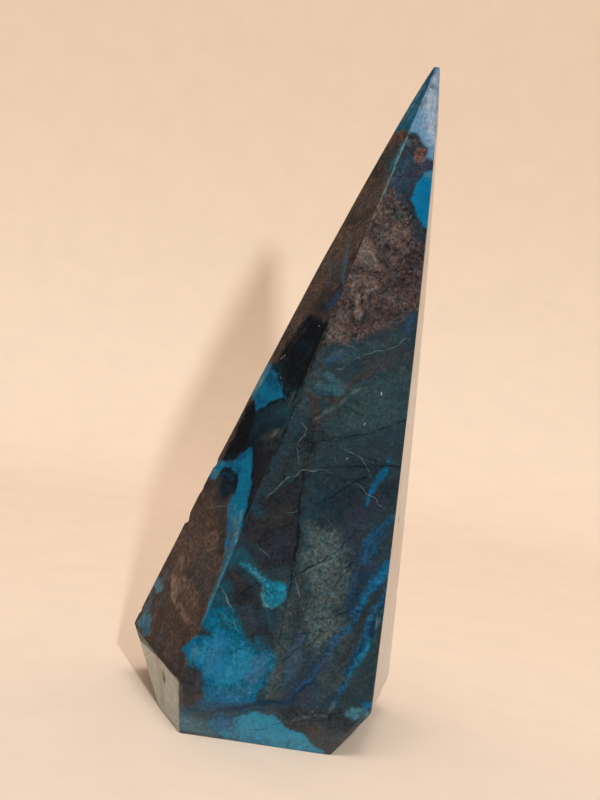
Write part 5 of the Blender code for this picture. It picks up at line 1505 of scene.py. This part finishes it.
def polished_stone(settings):
    """The stone's material: glossy, but duller and finely scratched at the ground tip."""
    recipe = Recipe("polished_turquoise_stone")
    place, drifted = stone_places(recipe)
    colour = stone_colour(recipe, settings, place, drifted)

    height = recipe.node("ShaderNodeSeparateXYZ", {0: place}).outputs[2]
    ground = recipe.step(height, GROUND_FROM, GROUND_TO)
    scratches = recipe.noise(recipe.stretched(place, *SCRATCH_RUN), SCRATCHES)
    scratched = recipe.sum("MULTIPLY_ADD", scratches, SCRATCH_WEIGHT, SCRATCH_LEVEL)
    colour = scaled(recipe, colour, recipe.sum("MULTIPLY", scratched, ground))
    smears = recipe.noise(place, SMEARS)
    rough = recipe.step(smears, 0.35, 0.70, settings.polish, settings.polish + POLISH_VARIES)
    rough = recipe.sum("MULTIPLY_ADD", ground, GROUND_ROUGHNESS, rough)
    relief = recipe.sum("MULTIPLY_ADD", scratches, SCRATCH_RELIEF, recipe.noise(place, RELIEF))
    bump = recipe.node("ShaderNodeBump", {
        "Strength": RELIEF_STRENGTH, "Distance": RELIEF_DEPTH * MM, "Height": relief})
    return recipe.finish(recipe.node("ShaderNodeBsdfPrincipled", {
        "Base Color": colour, "Roughness": rough, "IOR": STONE_IOR, "Normal": bump.outputs[0]}))


# ------------------------------------------------------------------ the stage
# Lengths are metres, apart from the camera's place.

FLOOR_FLAT = 0.22
FLOOR_CURVE = 0.20            # the radius of the sweep behind the stone
FLOOR_TURN = 85.0             # how steep the sweep gets, in degrees
FLOOR_SPOKES = 96
FLAT_RINGS, CURVE_RINGS, WALL_RINGS = 8, 24, 8
WALL_OUT, WALL_UP = 0.012, 0.12
SWEEP_FROM, SWEEP_SPAN = -0.35, 0.6       # sines of the angle round the floor, where it rises
FRONT_SPREAD = 4.0
BACKDROP_HEIGHT = 0.2
WEAVE = (0.012, 5.0, 0.6, 0.0)


def stage_mesh():
    """A flat floor that sweeps up behind the stone and stays level in front of it."""
    distances = [0.0] + [FLOOR_FLAT * step / FLAT_RINGS for step in range(1, FLAT_RINGS + 1)]
    heights = [0.0] * len(distances)
    for step in range(1, CURVE_RINGS + 1):
        turn = math.radians(FLOOR_TURN) * step / CURVE_RINGS
        distances.append(FLOOR_FLAT + FLOOR_CURVE * math.sin(turn))
        heights.append(FLOOR_CURVE * (1.0 - math.cos(turn)))
    for _ in range(WALL_RINGS):
        distances.append(distances[-1] + WALL_OUT)
        heights.append(heights[-1] + WALL_UP)
    bm = bmesh.new()
    middle = bm.verts.new((0.0, 0.0, 0.0))
    rings = []
    for distance, height in zip(distances[1:], heights[1:]):
        ring = []
        for spoke in range(FLOOR_SPOKES):
            turn = 2.0 * math.pi * spoke / FLOOR_SPOKES
            behind = min(max((math.sin(turn) - SWEEP_FROM) / SWEEP_SPAN, 0.0), 1.0)
            behind = behind * behind * (3.0 - 2.0 * behind)
            reach = distance + (1.0 - behind) * max(distance - FLOOR_FLAT, 0.0) * FRONT_SPREAD
            ring.append(bm.verts.new((reach * math.cos(turn), reach * math.sin(turn), height * behind)))
        rings.append(ring)
    for spoke in range(FLOOR_SPOKES):
        after = (spoke + 1) % FLOOR_SPOKES
        bm.faces.new((middle, rings[0][spoke], rings[0][after]))
        for inner, outer in zip(rings[:-1], rings[1:]):
            bm.faces.new((inner[spoke], outer[spoke], outer[after], inner[after]))
    mesh = bpy.data.meshes.new("stage_floor")
    bm.to_mesh(mesh)
    bm.free()
    mesh.shade_smooth()
    return mesh


def floor_material(settings):
    """Matt pale paper, with painted shade: darker towards the top of the sweep, and a little in front."""
    recipe = Recipe("pale_floor")
    place = recipe.node("ShaderNodeTexCoord").outputs["Object"]
    _, back, height = recipe.node("ShaderNodeSeparateXYZ", {0: place}).outputs
    # painted shade: the sweep darkens towards its top, to the shaded backdrop colour
    risen = recipe.sum("DIVIDE", recipe.sum("MAXIMUM", height, 0.0), BACKDROP_HEIGHT)
    risen = recipe.step(recipe.sum("POWER", risen, 0.5), 0.0, 1.0)
    colour = recipe.mix(risen, tuple(settings.floor), tuple(settings.shaded_backdrop))
    woven = recipe.step(recipe.noise(place, WEAVE), 0.3, 0.7, 0.98, 1.01)
    # painted shade: the floor a little darker in front
    shade = recipe.sum("MULTIPLY", woven, recipe.step(back, -0.15, 0.05, 0.86, 1.0))
    colour = recipe.mix(1.0, colour, recipe.even(shade), "MULTIPLY")
    return recipe.finish(recipe.node("ShaderNodeBsdfPrincipled", {
        "Base Color": colour, "Roughness": 0.9, "Specular IOR Level": 0.1}))


CAMERA_PLACE = (6.05, -259.86, 78.11)     # millimetres, from the outline's own origin
CAMERA_YAW = -1.2104
CAMERA_PITCH = -5.0
CAMERA_ROLL = 8.0
CAMERA_LENS = 67.5
CAMERA_SENSOR = 36.0
CAMERA_CLIP = (0.01, 20.0)
KEY_PLACE = (0.045, -0.252, 0.134)
KEY_SIZE = 0.0045
KEY_COLOUR = (0.92, 0.98, 1.0)
CEILING_PLACE = (0.0, -0.2, 1.13)
CEILING_SIZE = 0.7
CEILING_COLOUR = (1.0, 0.94, 0.87)
LAMP_AIM = (0.0, 0.0, 0.05)
SEEN_COLOUR = (0.80, 0.62, 0.47, 1.0)
MIRRORED_COLOUR = (0.03, 0.04, 0.05, 1.0)
FLAG_TONE = (0.028, 0.030, 0.036, 1.0)

# dark cards that the polish mirrors: name, one lower corner, the upper corner across from it
FLAGS = (
    ("left_flag", (-0.20, 0.04, -0.001), (-0.07, 0.19, 0.25)),
    ("low_flag", (-0.077, -0.019, -0.001), (-0.015, 0.045, 0.03)),
)


def add_camera(middle):
    yaw, pitch, roll = (math.radians(angle) for angle in (CAMERA_YAW, CAMERA_PITCH, CAMERA_ROLL))
    forward = Vector((math.sin(yaw) * math.cos(pitch), math.cos(yaw) * math.cos(pitch), math.sin(pitch)))
    level = Vector((math.cos(yaw), -math.sin(yaw), 0.0))
    above = level.cross(forward)
    right = level * math.cos(roll) + above * math.sin(roll)
    up = above * math.cos(roll) - level * math.sin(roll)
    data = bpy.data.cameras.new("camera")
    data.sensor_fit = "AUTO"
    data.sensor_width = CAMERA_SENSOR
    data.lens = CAMERA_LENS
    data.clip_start, data.clip_end = CAMERA_CLIP
    camera = bpy.data.objects.new("camera", data)
    turn = Matrix((right, up, -forward)).transposed().to_4x4()
    camera.matrix_world = Matrix.Translation((Vector(CAMERA_PLACE) - middle) * MM) @ turn
    bpy.context.collection.objects.link(camera)
    bpy.context.scene.camera = camera


def add_key(power):
    """The small lamp beside the camera, whose light keeps its strength as it goes."""
    data = bpy.data.lights.new("key_lamp", "POINT")
    data.energy = power
    data.color = KEY_COLOUR
    data.shadow_soft_size = KEY_SIZE
    data.use_nodes = True
    nodes, links = data.node_tree.nodes, data.node_tree.links
    steady = nodes.new("ShaderNodeLightFalloff")
    steady.inputs["Strength"].default_value = 1.0
    links.new(steady.outputs["Constant"], nodes["Emission"].inputs["Strength"])
    key = bpy.data.objects.new("key_lamp", data)
    key.location = KEY_PLACE
    key.visible_camera = False
    key.visible_glossy = False
    bpy.context.collection.objects.link(key)


def add_ceiling(power):
    """A broad round lamp overhead, facing the stone."""
    data = bpy.data.lights.new("ceiling_lamp", "AREA")
    data.energy = power
    data.color = CEILING_COLOUR
    data.shape = "DISK"
    data.size = CEILING_SIZE
    lamp = bpy.data.objects.new("ceiling_lamp", data)
    lamp.location = CEILING_PLACE
    lamp.rotation_mode = "QUATERNION"
    lamp.rotation_quaternion = (Vector(CEILING_PLACE) - Vector(LAMP_AIM)).to_track_quat("Z", "Y")
    bpy.context.collection.objects.link(lamp)


def add_world(settings):
    """A pale surround that lights evenly, with a dark room in the reflections."""
    world = bpy.data.worlds.new("pale_surround")
    world.use_nodes = True
    nodes, links = world.node_tree.nodes, world.node_tree.links
    ray = nodes.new("ShaderNodeLightPath")
    tone = (*settings.surround, 1.0)
    for seen_by, colour in (("Is Camera Ray", SEEN_COLOUR), ("Is Glossy Ray", MIRRORED_COLOUR)):
        mix = nodes.new("ShaderNodeMix")
        mix.data_type = "RGBA"
        if isinstance(tone, tuple):
            mix.inputs[6].default_value = tone
        else:
            links.new(tone, mix.inputs[6])
        mix.inputs[7].default_value = colour
        links.new(ray.outputs[seen_by], mix.inputs[0])
        tone = mix.outputs[2]
    links.new(tone, nodes["Background"].inputs["Color"])
    bpy.context.scene.world = world


def add_flag(name, low, high):
    """A dark card that only reflections see, standing upright over a line on the floor."""
    (x1, y1, bottom), (x2, y2, top) = low, high
    mesh = bpy.data.meshes.new(name)
    corners = [(x1, y1, bottom), (x2, y2, bottom), (x2, y2, top), (x1, y1, top)]
    mesh.from_pydata(corners, [], [(0, 1, 2, 3)])
    recipe = Recipe(name)
    mesh.materials.append(recipe.finish(recipe.node("ShaderNodeEmission", {"Color": FLAG_TONE})))
    flag = bpy.data.objects.new(name, mesh)
    for rays in ("camera", "diffuse", "shadow", "transmission", "volume_scatter"):
        setattr(flag, "visible_" + rays, False)
    bpy.context.collection.objects.link(flag)


# ------------------------------------------------------------------ settings and operators


class TURQUOISE_PG_stone(PropertyGroup):
    tint: FloatVectorProperty(
        name="Tint", description="Colour laid over the whole stone",
        subtype="COLOR", default=(1.0, 1.0, 1.0))
    azure: FloatVectorProperty(
        name="Azure", description="Core of the blue veins",
        subtype="COLOR", default=(0.010, 0.085, 0.185))
    grain: FloatProperty(
        name="Grain", description="How strongly the ground is mottled",
        subtype="FACTOR", default=1.0, min=0.0, max=2.0)
    veins: FloatProperty(
        name="Veins", description="How bright the pale hairlines are",
        subtype="FACTOR", default=1.0, min=0.0, max=1.0)
    polish: FloatProperty(
        name="Polish", description="Roughness of the best polished parts",
        subtype="FACTOR", default=0.05, min=0.02, max=0.6)


class TURQUOISE_PG_stage(PropertyGroup):
    floor: FloatVectorProperty(
        name="Floor", description="Floor colour",
        subtype="COLOR", default=(0.92, 0.775, 0.655))
    shaded_backdrop: FloatVectorProperty(
        # a painted shade: the darker colour the sweep takes towards its top
        name="Backdrop", description="Colour high behind the stone",
        subtype="COLOR", default=(0.655, 0.515, 0.40))
    surround: FloatVectorProperty(
        name="Surround", description="Light from all round",
        subtype="COLOR", default=(0.41, 0.37, 0.33))
    key: FloatProperty(
        name="Key lamp", description="Power of the lamp that casts the shadow",
        unit="POWER", default=21.0, min=0.0)
    ceiling: FloatProperty(
        name="Ceiling lamp", description="Power of the broad lamp overhead",
        unit="POWER", default=4.0, min=0.0)


class TURQUOISE_OT_stone(Operator):
    """Make the polished stone in place of its plain solid"""

    bl_idname = "turquoise.stone"
    bl_label = "Stone"

    def execute(self, context):
        mesh, flat, sides = stone_mesh()
        mark_stone(mesh, flat, sides)
        mesh.transform(Matrix.Scale(MM, 4) @ Matrix.Translation(-Vector(STONE_MIDDLE)))
        mesh.materials.append(polished_stone(context.scene.turquoise_stone))
        stone = bpy.data.objects.new("polished_stone", mesh)
        context.collection.objects.link(stone)
        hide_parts(STONE_NODE)
        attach(stone, "root")
        return {"FINISHED"}


class TURQUOISE_OT_stage(Operator):
    """Make the pale floor, the lights and the camera"""

    bl_idname = "turquoise.stage"
    bl_label = "Stage"

    def execute(self, context):
        settings = context.scene.turquoise_stage
        floor = bpy.data.objects.new("stage_floor", stage_mesh())
        floor.data.materials.append(floor_material(settings))
        context.collection.objects.link(floor)
        add_key(settings.key)
        add_ceiling(settings.ceiling)
        for flag in FLAGS:
            add_flag(*flag)
        add_world(settings)
        add_camera(Vector(STONE_MIDDLE))
        context.scene.view_settings.view_transform = "Standard"
        return {"FINISHED"}


class TURQUOISE_PT_panel(Panel):
    bl_idname = "TURQUOISE_PT_panel"
    bl_label = "Turquoise point"
    bl_space_type = "VIEW_3D"
    bl_region_type = "UI"
    bl_category = "Stone"

    def draw(self, context):
        for settings, operator in (
            (context.scene.turquoise_stone, TURQUOISE_OT_stone),
            (context.scene.turquoise_stage, TURQUOISE_OT_stage),
        ):
            for name in settings.__annotations__:
                self.layout.prop(settings, name)
            self.layout.operator(operator.bl_idname)


CLASSES = (
    TURQUOISE_PG_stone, TURQUOISE_PG_stage, TURQUOISE_OT_stone, TURQUOISE_OT_stage, TURQUOISE_PT_panel)


def register():
    for cls in CLASSES:
        bpy.utils.register_class(cls)
    bpy.types.Scene.turquoise_stone = PointerProperty(type=TURQUOISE_PG_stone)
    bpy.types.Scene.turquoise_stage = PointerProperty(type=TURQUOISE_PG_stage)


def unregister():
    del bpy.types.Scene.turquoise_stage
    del bpy.types.Scene.turquoise_stone
    for cls in reversed(CLASSES):
        bpy.utils.unregister_class(cls)


def main():
    register()
    bpy.ops.turquoise.stone()
    bpy.ops.turquoise.stage()


if __name__ == "__main__":
    main()
